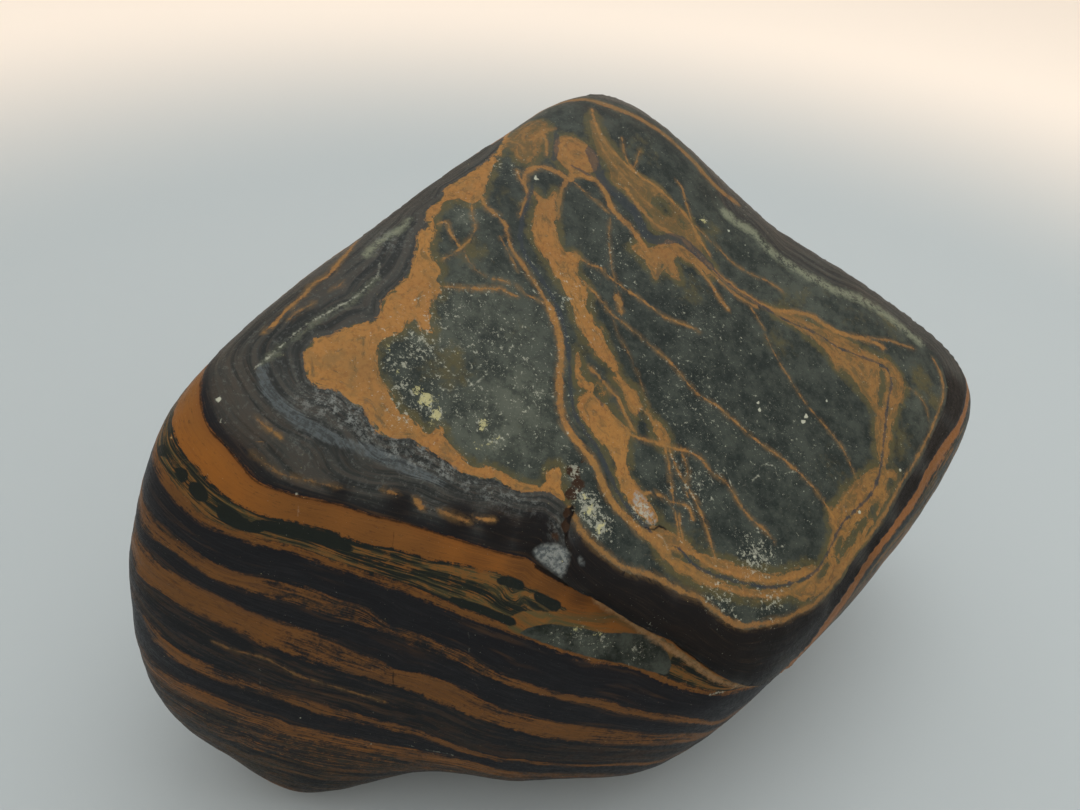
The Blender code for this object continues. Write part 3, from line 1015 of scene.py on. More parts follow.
# Bands down the sides: the level at which a band ends, then its shares of amber, of fine striping and
# of brown grain.
LEVEL_LOW, LEVEL_HIGH = -90.0, 14.0
SIDE_BANDS = (
    (14.0, (0.0, 0.06, 0.0)),
    (0.0, (1.0, 0.0, 0.0)),
    (-7.0, (0.12, 1.0, 0.0)),
    (-13.0, (0.95, 0.0, 0.1)),
    (-14.4, (0.0, 0.0, 0.0)),
    (-19.0, (0.75, 0.15, 0.35)),
    (-22.5, (0.0, 0.0, 0.0)),
    (-26.0, (0.85, 0.1, 0.25)),
    (-31.0, (0.0, 0.12, 0.0)),
    (-37.0, (0.75, 0.1, 0.35)),
    (-39.5, (0.0, 0.0, 0.0)),
    (-43.0, (0.62, 0.15, 0.85)),
    (-46.5, (0.35, 0.25, 1.0)),
    (-54.0, (0.12, 0.3, 1.0)),
    (-64.0, (0.65, 0.2, 0.5)),
    (-67.5, (0.0, 0.1, 0.0)),
    (-73.0, (0.5, 0.3, 0.7)),
)
BAND_EDGE = 0.62  # half the width of a change from one band to the next


def band_stops():
    """The side bands as ramp stops, lowest first, with a narrow change at each level."""
    span = LEVEL_HIGH - LEVEL_LOW
    stops = []
    for (level, mix), (_, above) in zip(SIDE_BANDS[:0:-1], SIDE_BANDS[-2::-1]):
        stops.append(((level - BAND_EDGE - LEVEL_LOW) / span, opaque(mix)))
        stops.append(((level + BAND_EDGE - LEVEL_LOW) / span, opaque(above)))
    return stops


class StoneFinish(Recipe):
    """The stone's finish. groups says how many groups of veins of each kind its points carry."""

    def __init__(self, groups, colours):
        super().__init__("banded ironstone polish")
        self.groups = groups
        names = StoneColours.__annotations__
        self.tint = SimpleNamespace(**{name: opaque(getattr(colours, name)) for name in names})
        self.bedding = self.point_value("bedding", "Vector")
        self.level = self.split(self.bedding)[2]
        self.broad = self.centred(self.noise(self.place, 160.0))
        self.ragged = self.centred(self.noise(self.place, 700.0, 4.0, 0.65))
        self.fine = self.centred(self.noise(self.place, 2600.0, 2.0, 0.6))
        self.striping = self.bedded((0.06, 0.06, 0.9), 4.0, 0.6)
        self.hairs = self.bedded((0.17, 0.17, 2.8), 4.0, 0.65)
        self.cloud = self.noise(self.place, 60.0, 3.0, 0.5)
        self.grain = self.noise(self.place, 1500.0, 3.0, 0.7)
        self.mottled = self.soft(self.noise(self.place, 240.0, 6.0, 0.72), 0.36, 0.66)
        self.blotch = self.noise(self.place, 420.0, 5.0, 0.7)
        self.thin = self.times(self.take(self.noise(self.place, 620.0, 4.0, 0.75), 0.60), 1.6)
        self.patch_depth = self.point_value("amber_patch")
        self.stained = self.point_value("olive_stain")
        self.on_top = self.add(self.point_value("top_inside"), self.times(self.ragged, 0.5))

    def bedded(self, scale, detail, rough):
        """Noise that is drawn out along the beds."""
        return self.noise(self.stretched(self.bedding, scale), 1.0, detail, rough)

    def patch(self, name, raggedness, low, high):
        """The share of a patch or a group of spots, with a ragged edge."""
        depth = self.add(self.point_value(name), self.times(self.ragged, raggedness))
        return self.soft(depth, low, high)

    def vein_rooms(self, kind, wander):
        """How far inside the nearest vein of a kind each point is, and that vein's strength, as pairs."""
        rooms = []
        for number in range(self.groups[kind]):
            aside, half, strength = self.split(self.point_value(f"{kind}_{number}", "Vector"))
            aside = self.math("ABSOLUTE", self.add(aside, wander))
            rooms.append((self.take(half, aside), strength))
        return rooms

    def strongest(self, rooms, thin, low=-0.14, high=0.16):
        """The share of the strongest of these veins at each point."""
        found = None
        for room, strength in rooms:
            share = self.times(self.soft(self.add(room, thin), low, high), strength)
            found = share if found is None else self.most(found, share)
        return found

    def veins(self, kind, wander, *edge):
        """The share of the veins of a kind, whose middle wanders with one noise and width with another."""
        return self.strongest(self.vein_rooms(kind, wander), *edge)

    def dark_bed(self, slab):
        """The dark iron-rich bed, with the shoulder's arcs above it."""
        tint, striping = self.tint, self.striping
        bed = self.over(tint.hematite, tint.hematite_light, self.soft(self.hairs, 0.45, 0.75), 0.45)
        brown = self.times(self.soft(striping, 0.55, 0.7), self.soft(self.cloud, 0.45, 0.65))
        bed = self.over(bed, tint.brown_grain, brown, 0.5)
        arcs = self.mix(self.soft(striping, 0.38, 0.6), tint.shoulder_dark, tint.shoulder_light)
        arcs = self.over(arcs, tint.silver, self.soft(self.grain, 0.52, 0.74), 0.16)
        shoulder = self.soft(self.level, 0.3, 3.0)
        return self.mix(self.times(shoulder, self.take(1.0, slab)), bed, arcs)

    def striped_bed(self):
        """The finely striped bed: black-green and olive, with amber threads."""
        tint, hairs, striping = self.tint, self.hairs, self.striping
        streaky = self.soft(self.add(striping, self.times(self.centred(hairs), 0.5)), 0.42, 0.62)
        bed = self.mix(streaky, tint.black_green, tint.olive)
        wisps = self.add(self.times(self.centred(striping), 0.8), self.times(self.ragged, 0.5))
        return self.over(bed, tint.brown_amber, self.soft(self.add(hairs, wisps), 0.49, 0.62), 0.75)

    def amber_bed(self, grain_share):
        """The amber beds: duller and browner down the stone, rusty along their top edge and worn, and browned
        with painted shade under the ledge and along the underside.
        """
        tint, level, hairs, striping = self.tint, self.level, self.hairs, self.striping
        bed = self.mix(self.soft(self.cloud, 0.35, 0.65), tint.bed_amber, tint.brown_amber)
        thin_bed = self.soft(level, -12.0, -14.0)
        bed = self.over(bed, tint.thin_bed, thin_bed, 0.85)
        bed = self.over(bed, tint.rust, self.soft(hairs, 0.5, 0.72), 0.45)
        specks = self.add(self.bedded((0.7, 0.7, 2.0), 4.0, 0.75), self.times(thin_bed, 0.05))
        bed = self.over(bed, tint.deep_brown, self.soft(specks, 0.56, 0.68), 0.6)
        streaks = self.times(self.soft(striping, 0.52, 0.66), self.soft(level, -10.0, -16.0))
        bed = self.over(bed, tint.brown_grain, streaks, 0.6)
        grained = self.mix(self.soft(hairs, 0.36, 0.62), tint.brown_grain, tint.brown_amber)
        grained = self.over(grained, tint.deep_brown, self.soft(striping, 0.45, 0.62), 0.7)
        bed = self.mix(grain_share, bed, grained)
        top_edge = self.soft(self.add(level, self.times(self.ragged, 1.2)), -2.2, 0.1)
        bed = self.mix(self.most(self.times(top_edge, 0.55), self.times(striping, 0.3)), bed, tint.rust)
        # Rust in places, and painted shade under the ledge and along the underside.
        worn = self.times(self.point_value("rust_and_shade_tint"), self.soft(hairs, 0.3, 0.6, 0.5, 0.85))
        return self.mix(worn, bed, tint.worn_and_shaded_bed)

    def sides(self):
        """The sides: the level picks the bed, with a ragged edge that follows the bedding."""
        tint, level, hairs, ragged = self.tint, self.level, self.hairs, self.ragged
        teeth = self.centred(self.bedded((0.7, 0.7, 0.25), 5.0, 0.75))
        toothed = self.most(self.soft(level, -3.5, -6.5, 0.0, 2.6), 0.5)
        toothed = self.least(toothed, self.soft(level, -9.0, -12.0, 2.6, 1.0))
        wavy = self.add(level, self.times(teeth, toothed), self.times(ragged, 0.4))
        height = self.times(self.take(wavy, LEVEL_LOW), 1 / (LEVEL_HIGH - LEVEL_LOW))
        amber_share, stripe_share, grain_share = self.split(self.ramp(height, band_stops()))
        slab = self.soft(self.point_value("front_slab_shade"), 0.15, 0.75)
        side = self.mix(stripe_share, self.dark_bed(slab), self.striped_bed())
        # The slab's face: black hematite, darkened further by painted shade.
        slab_face = self.over(tint.slab_black_and_shade, tint.deep_brown, self.soft(hairs, 0.5, 0.75), 0.35)
        side = self.over(side, slab_face, self.times(slab, self.soft(level, -0.2, 0.3)), 0.92)
        bed = self.amber_bed(grain_share)
        dull = self.soft(self.bedded((0.045, 0.045, 0.11), 3.0, 0.6), 0.56, 0.40)
        dull = self.times(dull, self.soft(level, -12.5, -14.0))
        amber_share = self.times(amber_share, self.take(1.0, self.times(dull, 0.42)))
        frays = self.add(self.times(ragged, 0.7), self.times(self.fine, 0.5))
        frays = self.add(self.times(self.centred(hairs), 1.3), frays)
        return self.mix(self.soft(self.add(amber_share, frays), 0.30, 0.70), side, bed), bed

    def top(self):
        """The top: green-grey chert with olive stains."""
        tint, grain, mottled = self.tint, self.grain, self.mottled
        top = self.over(tint.chert, tint.chert_light, mottled, 0.7)
        paler = self.soft(self.add(mottled, grain), 0.5, 1.3, 0.35, 1.0)
        top = self.mix(self.times(self.point_value("pale_chert"), paler), top, tint.pale_chert)
        stain = self.most(self.stained, self.soft(self.patch_depth, -2.6, -0.2, 0.0, 0.75))
        stain = self.add(stain, self.times(self.ragged, 1.2), self.times(self.broad, 0.9))
        top = self.over(top, tint.olive, self.soft(stain, 0.25, 0.8), 0.8)
        return self.over(top, tint.chert_light, self.soft(grain, 0.5, 0.72), 0.4)

    def shoulder_marks(self, colour):
        """Brown shade, the brushed blue-grey band with painted sheen, and silvery streaks with painted sheen.
        """
        tint, hairs, grain = self.tint, self.hairs, self.grain
        brown = self.times(self.point_value("brown_shade"), self.soft(self.striping, 0.3, 0.6))
        colour = self.over(colour, tint.brown_grain, brown, 0.2)
        # The blue-grey band, partly painted sheen, brushed with fine streaks.
        band = self.add(self.point_value("blue_sheen_band"), self.times(self.centred(hairs), 1.6))
        brushed = self.add(hairs, self.times(self.centred(grain), 0.9))
        band = self.times(self.soft(band, -0.25, 0.4), self.soft(brushed, 0.36, 0.6, 0.35, 0.9))
        colour = self.mix(band, colour, tint.blue_sheen_band)
        # Silvery laminae with painted sheen.
        sparkle = self.noise(self.place, 1100.0, 4.0, 0.8)
        sparkle = self.soft(self.add(sparkle, self.times(self.centred(hairs), 0.25)), 0.46, 0.66)
        silver = self.times(self.point_value("streak_and_sheen"), sparkle)
        return self.over(colour, tint.silver, silver, 0.6)

    def bed_patches(self, colour, bed):
        """Patches beside the beds."""
        tint = self.tint
        olive = self.mix(self.soft(self.striping, 0.35, 0.6), tint.olive, bed)
        lens = self.mix(self.mottled, tint.black_green, tint.chert_light)
        colour = self.mix(self.patch("olive_bed", 0.8, -0.15, 0.15), colour, olive)
        colour = self.mix(self.patch("chert_lens", 0.5, -0.12, 0.12), colour, lens)
        return self.mix(self.patch("dark_pods", 0.6, -0.1, 0.14), colour, tint.black_green)

    def amber_top(self, colour):
        """Amber patches and veins of the top. Gives the colour and the share of amber."""
        tint, blotch, fine = self.tint, self.blotch, self.fine
        amber = self.mix(self.soft(self.cloud, 0.3, 0.7), tint.amber, tint.ochre)
        amber = self.over(amber, tint.rust, self.soft(self.grain, 0.46, 0.7), 0.5)
        across, along, _ = self.split(self.place)
        strands = self.nodes.new("ShaderNodeCombineXYZ")
        strand_place = (self.times(across, 300.0), self.times(along, 300.0), self.patch_depth)
        for socket, value in zip(strands.inputs, strand_place):
            self.feed(socket, value)
        strand_place = self.stretched(strands.outputs[0], (1.25, 1.25, 1.0))
        fibres = self.noise(strand_place, 1.0, 5.0, 0.72, 0.5)
        frays = self.times(self.centred(fibres), 3.2)
        worn = self.add(self.times(self.soft(blotch, 0.46, 0.66), 0.6), self.times(self.stained, 0.5))
        amber = self.mix(worn, amber, tint.stained_amber)
        patch = self.add(self.patch_depth, self.times(self.ragged, 1.3), frays)
        patch = self.add(patch, self.times(fine, 0.35))
        full = self.point_value("amber_strength")
        gaps = self.soft(self.add(fibres, self.times(self.take(1.0, full), 0.22)), 0.52, 0.68)
        full = self.add(full, self.times(self.centred(blotch), self.soft(full, 0.5, 0.9, 2.2, 0.8)))
        full = self.least(self.most(full, 0.3), 1.0)
        full = self.times(full, self.take(1.0, self.times(gaps, 0.62)))
        colour = self.mix(self.times(self.soft(patch, -0.16, 0.18), full), colour, amber)
        wander = self.add(self.times(self.ragged, 0.55), self.times(self.broad, 0.5))
        rooms = self.vein_rooms("amber", wander)
        halo = self.strongest(rooms, self.times(frays, 0.3), -0.75, 0.25)
        halo = self.times(halo, self.soft(fibres, 0.35, 0.6))
        colour = self.over(colour, tint.stained_amber, halo, 0.5)
        veins = self.strongest(rooms, self.thin, -0.2, 0.2)
        solid = self.soft(self.add(blotch, self.times(fine, 0.5)), 0.3, 0.52, 0.45, 1.0)
        veins = self.times(veins, solid)
        vein_tone = self.mix(self.soft(fibres, 0.42, 0.62, 0.15, 0.6), amber, tint.stained_amber)
        return self.mix(veins, colour, vein_tone), self.most(self.soft(patch, -0.14, 0.14), veins)

    def dark_lines(self, colour):
        """Seams, the painted light along the edge of the shelf under the ledge, and the dark cracks with
        painted shade.
        """
        tint, ragged, thin = self.tint, self.ragged, self.thin
        seams = self.veins("seam", self.times(ragged, 0.5), thin)
        seams = self.times(seams, self.soft(self.blotch, 0.3, 0.6, 0.98, 0.7))
        colour = self.mix(seams, colour, tint.seam)
        # Painted light: the lit edge of the shelf under the ledge.
        shelf = self.veins("shelf", self.times(ragged, 0.8), self.times(thin, 0.8), -0.4, 0.4)
        shelf = self.times(shelf, self.soft(self.grain, 0.35, 0.6, 0.5, 1.0))
        colour = self.mix(shelf, colour, tint.tan)
        # Dark cracks, and painted shade in the notch, under the ledge and along the top of the wide amber
        # bed.
        crevices = self.veins("dark_crack_and_shade", self.times(ragged, 0.25), self.times(thin, 0.35))
        return self.mix(crevices, colour, tint.dark_crack_and_shade)

    def chips_and_pits(self, colour):
        """The painted highlight on the tip, the facet of the chip with painted sheen and the rusty pits.
        Gives the colour and the share of pits.
        """
        tint, grain = self.tint, self.grain
        # Painted highlight on the tip.
        tip = self.times(self.patch("tip_highlight", 0.9, -0.3, 0.3), self.soft(grain, 0.4, 0.6))
        colour = self.over(colour, tint.silver, tip, 0.7)
        # The chip's facet: pale grey with painted sheen.
        chip = self.mix(self.soft(grain, 0.38, 0.62, 0.0, 0.8), tint.blue_sheen_band, tint.silver)
        colour = self.over(colour, chip, self.patch("chip_facet", 0.7, -0.35, 0.55), 0.8)
        pitted = self.patch("rust_pits", 0.9, 0.4, 0.6)
        return self.mix(pitted, colour, tint.pit), pitted

    def pale_marks(self, colour):
        """Speckle, crystal clusters, flecks, soft streaks and pale lines."""
        tint, place, ragged, thin, fine = self.tint, self.place, self.ragged, self.thin, self.fine
        wish = self.add(self.point_value("pale_speckle"), self.soft(self.on_top, 0.0, 1.5, 0.0, 0.3))
        speck = self.add(self.noise(place, 1300.0, 5.0, 0.75), self.times(wish, 0.16))
        glints = self.add(self.noise(place, 3600.0, 3.0, 0.6), self.times(wish, 0.1))
        speck = self.most(self.soft(speck, 0.685, 0.735), self.times(self.soft(glints, 0.70, 0.76), 0.7))
        colour = self.over(colour, tint.pale, speck, 0.6)
        wish = self.times(self.point_value("yellow_cluster"), 0.26)
        cluster = self.soft(self.add(self.noise(place, 700.0, 5.0, 0.8), wish), 0.68, 0.74)
        colour = self.over(colour, tint.yellow_crystal, cluster, 0.8)
        colour = self.mix(self.patch("white_fleck", 0.5, -0.05, 0.12), colour, tint.pale)
        streaks = self.veins("streak", self.times(ragged, 1.5), self.times(thin, 1.2), -1.0, 0.8)
        broken = self.soft(self.add(self.blotch, self.times(fine, 0.6)), 0.32, 0.56)
        colour = self.mix(self.times(streaks, broken), colour, tint.streak)
        edge = self.add(self.times(thin, 0.8), self.times(fine, 0.5))
        lines = self.veins("pale", self.times(ragged, 0.7), edge)
        lines = self.times(lines, self.soft(self.noise(place, 800.0, 4.0, 0.7), 0.38, 0.58, 0.25, 1.0))
        return self.over(colour, tint.pale, lines, 0.7)

    def relief(self):
        """Fine bumps: grain, laminae on the sides, the pits and low lumps."""
        smoother = self.soft(self.point_value("top_inside"), -0.4, 0.4, 0.8, 0.1)
        relief = self.add(self.times(self.grain, 0.5), self.times(self.hairs, smoother))
        relief = self.take(relief, self.times(self.soft(self.point_value("rust_pits"), 0.3, 0.7), 1.2))
        return self.add(relief, self.times(self.noise(self.place, 420.0, 4.0, 0.6), 0.6))

    def build(self):
        """The finished material, from the sides and the top to the last pale marks."""
        side, bed = self.sides()
        colour = self.mix(self.soft(self.on_top, -0.12, 0.12), side, self.top())
        colour = self.bed_patches(self.shoulder_marks(colour), bed)
        colour, amber_share = self.amber_top(colour)
        colour, pitted = self.chips_and_pits(self.dark_lines(colour))
        sockets = self.finish.inputs
        self.feed(sockets["Base Color"], self.pale_marks(colour))
        rough = self.add(self.times(amber_share, 0.06), self.soft(self.grain, 0.3, 0.75, 0.36, 0.54))
        self.feed(sockets["Roughness"], self.add(rough, self.times(pitted, 0.25)))
        sockets["Specular IOR Level"].default_value = 0.09
        sockets["IOR"].default_value = 1.5
        self.feed(sockets["Normal"], self.bump(self.relief(), 0.35, 0.00016))
        return self.material


REST_SKIN = 0.6  # points lower than this belong to the flat rest spot and stay
SHARP_ANGLE = math.radians(28)
SHARP_ROOM = 1.6  # points nearer than this to a sharp edge keep it
EDGE_PASSES = 6  # passes that round the broken edges as well


def smooth(shape, verts, passes):
    """Evens out these points of the mesh."""
    for _ in range(passes):
        bmesh.ops.smooth_vert(
            shape, verts=verts, factor=0.5, use_axis_x=True, use_axis_y=True, use_axis_z=True
        )


def merged_copy(node):
    """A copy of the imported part's mesh with its loose triangles joined."""
    mesh = node.data.copy()
    shape = bmesh.new()
    shape.from_mesh(mesh)
    bmesh.ops.remove_doubles(shape, verts=shape.verts, dist=1e-6)
    shape.to_mesh(mesh)
    shape.free()
    return mesh


def sharp_edge_points(mesh):
    """Points along the edges of the part that are truly sharp, in millimetres."""
    shape = bmesh.new()
    shape.from_mesh(mesh)
    found = []
    for edge in shape.edges:
        if len(edge.link_faces) == 2 and edge.calc_face_angle() > SHARP_ANGLE:
            ends = [vertex.co / MM for vertex in edge.verts]
            found += [ends[0].lerp(ends[1], share) for share in (0, 0.25, 0.5, 0.75, 1)]
    shape.free()
    return found


def fine_mesh(node, step, passes):
    """The part's own shape as a fine even mesh, without its facets and with its broken edges kept."""
    rough = merged_copy(node)
    sharp = tree_of(sharp_edge_points(rough))
    carrier = bpy.data.objects.new("carrier", rough)
    bpy.context.scene.collection.objects.link(carrier)
    remesh = carrier.modifiers.new("even mesh", "REMESH")
    remesh.mode = "VOXEL"
    remesh.voxel_size = step
    depsgraph = bpy.context.evaluated_depsgraph_get()
    mesh = bpy.data.meshes.new_from_object(carrier.evaluated_get(depsgraph))
    bpy.data.objects.remove(carrier)
    shape = bmesh.new()
    shape.from_mesh(mesh)
    worn = [vertex for vertex in shape.verts if vertex.co.z > REST_SKIN * MM]
    loose = [vertex for vertex in worn if sharp.find(vertex.co / MM)[2] > SHARP_ROOM]
    smooth(shape, worn, EDGE_PASSES)
    smooth(shape, loose, passes)
    shape.to_mesh(mesh)
    shape.free()
    return mesh


def lumps(places, spacing, seed):
    """Smooth noise at these places."""
    shift = Vector((seed, -seed, 0.5 * seed))
    return np.array([noise.noise(Vector(place) / spacing + shift) for place in places])


def eased(value, low, high):
    """A smooth step from 0 to 1 as the value passes from low to high."""
    share = np.clip((value - low) / (high - low), 0, 1)
    return share * share * (3 - 2 * share)


def soften_ledge(stone, mesh):
    """Evens out the facets of the part's ledge, so that the worn lip can be shaped cleanly."""
    line = stone.carry(smooth_line(points(LEDGE_LINE)))
    chosen = stone.near(line, LEDGE_SOFT_REACH)
    apart, _, _ = stone.from_line(chosen, line)
    across = stone.pixels[chosen, 0]
    chosen = chosen[(apart < LEDGE_SOFT_REACH) & (across > LEDGE_START[1])]
    shape = bmesh.new()
    shape.from_mesh(mesh)
    shape.verts.ensure_lookup_table()
    smooth(shape, [shape.verts[number] for number in chosen], LEDGE_SOFT_PASSES)
    shape.to_mesh(mesh)
    shape.free()


def ledge_move(stone):
    """The slab above the ledge swells out to a worn lip, and the rock sinks in just below it."""
    line = stone.carry(smooth_line(points(LEDGE_LINE)))
    chosen = stone.near(line, 3 * SWELL_REACH)
    _, side, past = stone.from_line(chosen, line)
    across = stone.pixels[chosen, 0]
    window = eased(across, *LEDGE_START) * (1 - eased(across, *LEDGE_END)) * (past < LEDGE_OVERRUN)
    swell = LEDGE_SWELL * np.exp(-((side / SWELL_REACH) ** 2))
    sink = LEDGE_SINK * np.exp(np.minimum(side, 0) / SINK_REACH)
    above = eased(side, -LIP_WIDTH, LIP_WIDTH)
    outward = (stone.places[chosen] - np.array(MIDDLE)) * (1, 1, 0)
    outward /= np.linalg.norm(outward, axis=1)[:, None]
    outward[:, 2] = LEDGE_LIFT
    move = np.zeros_like(stone.places)
    move[chosen] = (window * (above * swell - (1 - above) * sink))[:, None] * outward
    return move


# The low relief: for each kind of lump its share of the unevenness, its spacing and its seed.
LUMPS = ((1.0, 9.0, 3.0), (0.5, 3.5, 8.0))
RIB_HEIGHT, RIB_SCALE = 0.10, (0.03, 0.03, 0.9)  # ribs along the beds on the sides
CONTACT_STEP = 0.3  # how far the dark bed stands proud of the wide amber bed
PIT_DEPTH, PIT_EDGE = 0.45, 0.35
PIT_LUMPS = (1.5, 1.3, 5.0)
FADE_HEIGHT = 2.0  # the relief fades out over this height above the flat rest spot


def raise_relief(stone, mesh, fields, height):
    """Moves the points along their normals: worn unevenness, proud beds, ribs and pits."""
    uneven = [share * lumps(stone.places, spacing, seed) for share, spacing, seed in LUMPS]
    move = height * sum(uneven)
    bedding = fields["bedding"]
    level = bedding[:, 2]
    ribs = np.array([noise.noise(Vector(place)) for place in bedding * RIB_SCALE])
    on_side = np.clip(-fields["top_inside"] / 2, 0, 1)
    move += RIB_HEIGHT * ribs * on_side
    move += CONTACT_STEP * np.clip(level / 0.6 + 0.5, 0, 1) * np.clip(1 - level / 6, 0, 1) * on_side
    share, spacing, seed = PIT_LUMPS
    pits = np.clip(fields["rust_pits"] - PIT_EDGE, 0, 1)
    move -= PIT_DEPTH * pits * (1 + share * lumps(stone.places, spacing, seed))
    flat = np.clip(stone.places[:, 2] / FADE_HEIGHT, 0, 1)
    moved = (stone.places + (move * flat)[:, None] * stone.normals + ledge_move(stone)) * MM
    mesh.vertices.foreach_set("co", moved.astype(np.float32).ravel())
    mesh.update()


def write_field(mesh, name, values):
    """Keeps one value or vector for each point of the mesh, where the material reads it."""
    kind, key = ("FLOAT", "value") if values.ndim == 1 else ("FLOAT_VECTOR", "vector")
    layer = mesh.attributes.new(name, kind, "POINT")
    layer.data.foreach_set(key, values.astype(np.float32).ravel())


def marking_fields(stone):
    """Everything that the stone's finish reads, by name, and the number of groups of each kind of vein."""
    patches = np.array([patch_field(stone, text) for _, text in AMBER_PATCHES.values()])
    shares = np.array([share for share, _ in AMBER_PATCHES.values()])
    holes = [patch_field(stone, text) for text in PATCH_HOLES.values()]
    chips = patch_field(stone, CHIP_FACET), patch_field(stone, NOTCH_FACET) - NOTCH_DEPTH
    fields = {
        "bedding": bed_fields(stone),
        "top_inside": patch_field(stone, TOP_OUTLINE, reach=6.0),
        "amber_patch": np.minimum(patches.max(0), -np.max(holes, axis=0)),
        "amber_strength": shares[patches.argmax(0)],
        "chip_facet": np.maximum(*chips),
        "dark_pods": np.max([patch_field(stone, text) for text in DARK_PODS], axis=0),
        "white_fleck": fleck_field(stone, WHITE_FLECKS),
    }
    fields.update({name: patch_field(stone, text) for name, text in PATCHES.items()})
    fields.update({name: spots_field(stone, spots) for name, spots in SPOTS.items()})
    groups = {}
    for kind, veins in VEINS.items():
        made = vein_fields(stone, veins)
        groups[kind] = len(made)
        fields.update({f"{kind}_{number}": field for number, field in enumerate(made)})
    return fields, groups


class StoneSizes(bpy.types.PropertyGroup):
    """Sizes of the stone's mesh and relief."""

    mesh_step: FloatProperty(
        name="Mesh step", description="Side of a square of the fine mesh",
        default=0.00084, min=0.0005, unit="LENGTH",
    )
    smoothing: IntProperty(
        name="Smoothing", description="Passes that wear away the facets of the part", default=24, min=0
    )
    unevenness: FloatProperty(
        name="Unevenness", description="Height of the worn unevenness, in millimetres", default=0.16, min=0.0
    )


def tint(name, description, default):
    """The property of one mineral's colour."""
    return FloatVectorProperty(
        name=name, description=description, subtype="COLOR", size=3, min=0.0, max=1.0, default=default
    )


class StoneColours(bpy.types.PropertyGroup):
    """Colours of the stone's minerals, and of the painted light and shade on it."""

    amber: tint("Amber", "Amber of the patches on the top", (0.285, 0.136, 0.042))
    ochre: tint("Ochre", "Yellower parts of the amber", (0.31, 0.155, 0.042))
    rust: tint("Rust", "Redder, darker parts of the amber", (0.145, 0.056, 0.016))
    bed_amber: tint("Bed amber", "Amber of the beds on the sides", (0.265, 0.101, 0.017))
    thin_bed: tint("Thin bed", "Duller amber of the thin beds", (0.112, 0.056, 0.017))
    stained_amber: tint("Stained amber", "Olive-stained parts of the amber", (0.17, 0.105, 0.040))
    brown_amber: tint("Brown amber", "Browner amber of the thin beds", (0.175, 0.078, 0.020))
    brown_grain: tint("Brown grain", "Brown of the wood-grained bed", (0.075, 0.042, 0.020))
    deep_brown: tint("Deep brown", "Dark lines of the wood-grained bed", (0.034, 0.024, 0.015))
    chert: tint("Chert", "Dark green-grey chert", (0.013, 0.019, 0.018))
    chert_light: tint("Light chert", "Paler mottling of the chert", (0.054, 0.066, 0.056))
    pale_chert: tint("Pale chert", "Paler grey-green clouds in the chert", (0.086, 0.100, 0.080))
    olive: tint("Olive", "Olive stains and laminae", (0.075, 0.066, 0.028))
    black_green: tint("Black green", "Darkest chert pods", (0.010, 0.014, 0.012))
    hematite: tint("Hematite", "Dark iron-rich beds", (0.0088, 0.0096, 0.0120))
    hematite_light: tint("Light hematite", "Paler laminae of the dark beds", (0.0234, 0.0252, 0.0279))
    shoulder_dark: tint("Dark shoulder", "Darker arcs of the shoulder", (0.0167, 0.0195, 0.0195))
    shoulder_light: tint("Light shoulder", "Lighter arcs of the shoulder", (0.038, 0.042, 0.040))
    seam: tint("Seam", "Blue-black seams", (0.026, 0.034, 0.042))
    # Dark cracks, and painted shade in the notch, under the ledge and along the top of the wide amber bed.
    dark_crack_and_shade: tint("Crevice", "Dark dirt in cracks and under the ledge", (0.006, 0.0045, 0.0035))
    # Painted light: the lit edge of the shelf under the ledge.
    tan: tint("Tan", "Worn edge of the shelf under the ledge", (0.30, 0.195, 0.100))
    # Black hematite of the slab's face, darkened further as painted shade.
    slab_black_and_shade: tint("Slab black", "Smooth black face of the slab above the ledge", (0.0045, 0.0043, 0.0045))
    yellow_crystal: tint("Yellow crystal", "Pale yellow crystal clusters in the chert", (0.40, 0.39, 0.20))
    # Blue-grey band of the shoulder, partly painted sheen.
    blue_sheen_band: tint("Blue band", "Blue-grey band of the shoulder", (0.074, 0.090, 0.096))
    # Silvery laminae, and painted sheen and highlights on the shoulder, the chip and the tip.
    silver: tint("Silver", "Silvery laminae and chip", (0.26, 0.29, 0.28))
    # Rust in places, and painted shade under the ledge and along the underside.
    worn_and_shaded_bed: tint("Worn bed", "Browned parts of the wide amber bed", (0.078, 0.036, 0.012))
    streak: tint("Streak", "Soft pale green streaks", (0.180, 0.200, 0.140))
    pale: tint("Pale", "Pale specks and streaks", (0.36, 0.38, 0.31))
    pit: tint("Pit", "Rusty filling of the pits", (0.030, 0.017, 0.010))


class StageSettings(bpy.types.PropertyGroup):
    """The floor and the light."""

    floor_radius: FloatProperty(
        name="Floor radius", description="Radius of the flat floor", default=1.3, min=0.5, unit="LENGTH"
    )
    cove_radius: FloatProperty(
        name="Cove radius", description="Radius of the bend from the floor to the wall",
        default=0.7, min=0.1, unit="LENGTH",
    )
    wall_height: FloatProperty(
        name="Wall height", description="Height of the wall around the floor",
        default=1.0, min=0.5, unit="LENGTH",
    )
    floor_colour: FloatVectorProperty(
        name="Floor", description="Colour of the floor", subtype="COLOR", size=3,
        default=(0.413, 0.470, 0.494),
    )
    far_colour: FloatVectorProperty(
        name="Far", description="Colour of the far floor and the room", subtype="COLOR", size=3,
        default=(0.95, 0.87, 0.775),
    )
    top_light: FloatProperty(
        name="Top light", description="Power of the large light above, in watts", default=1.3, min=0.0
    )
    room_light: FloatProperty(
        name="Room light", description="Strength of the even light all around", default=1.0, min=0.0
    )


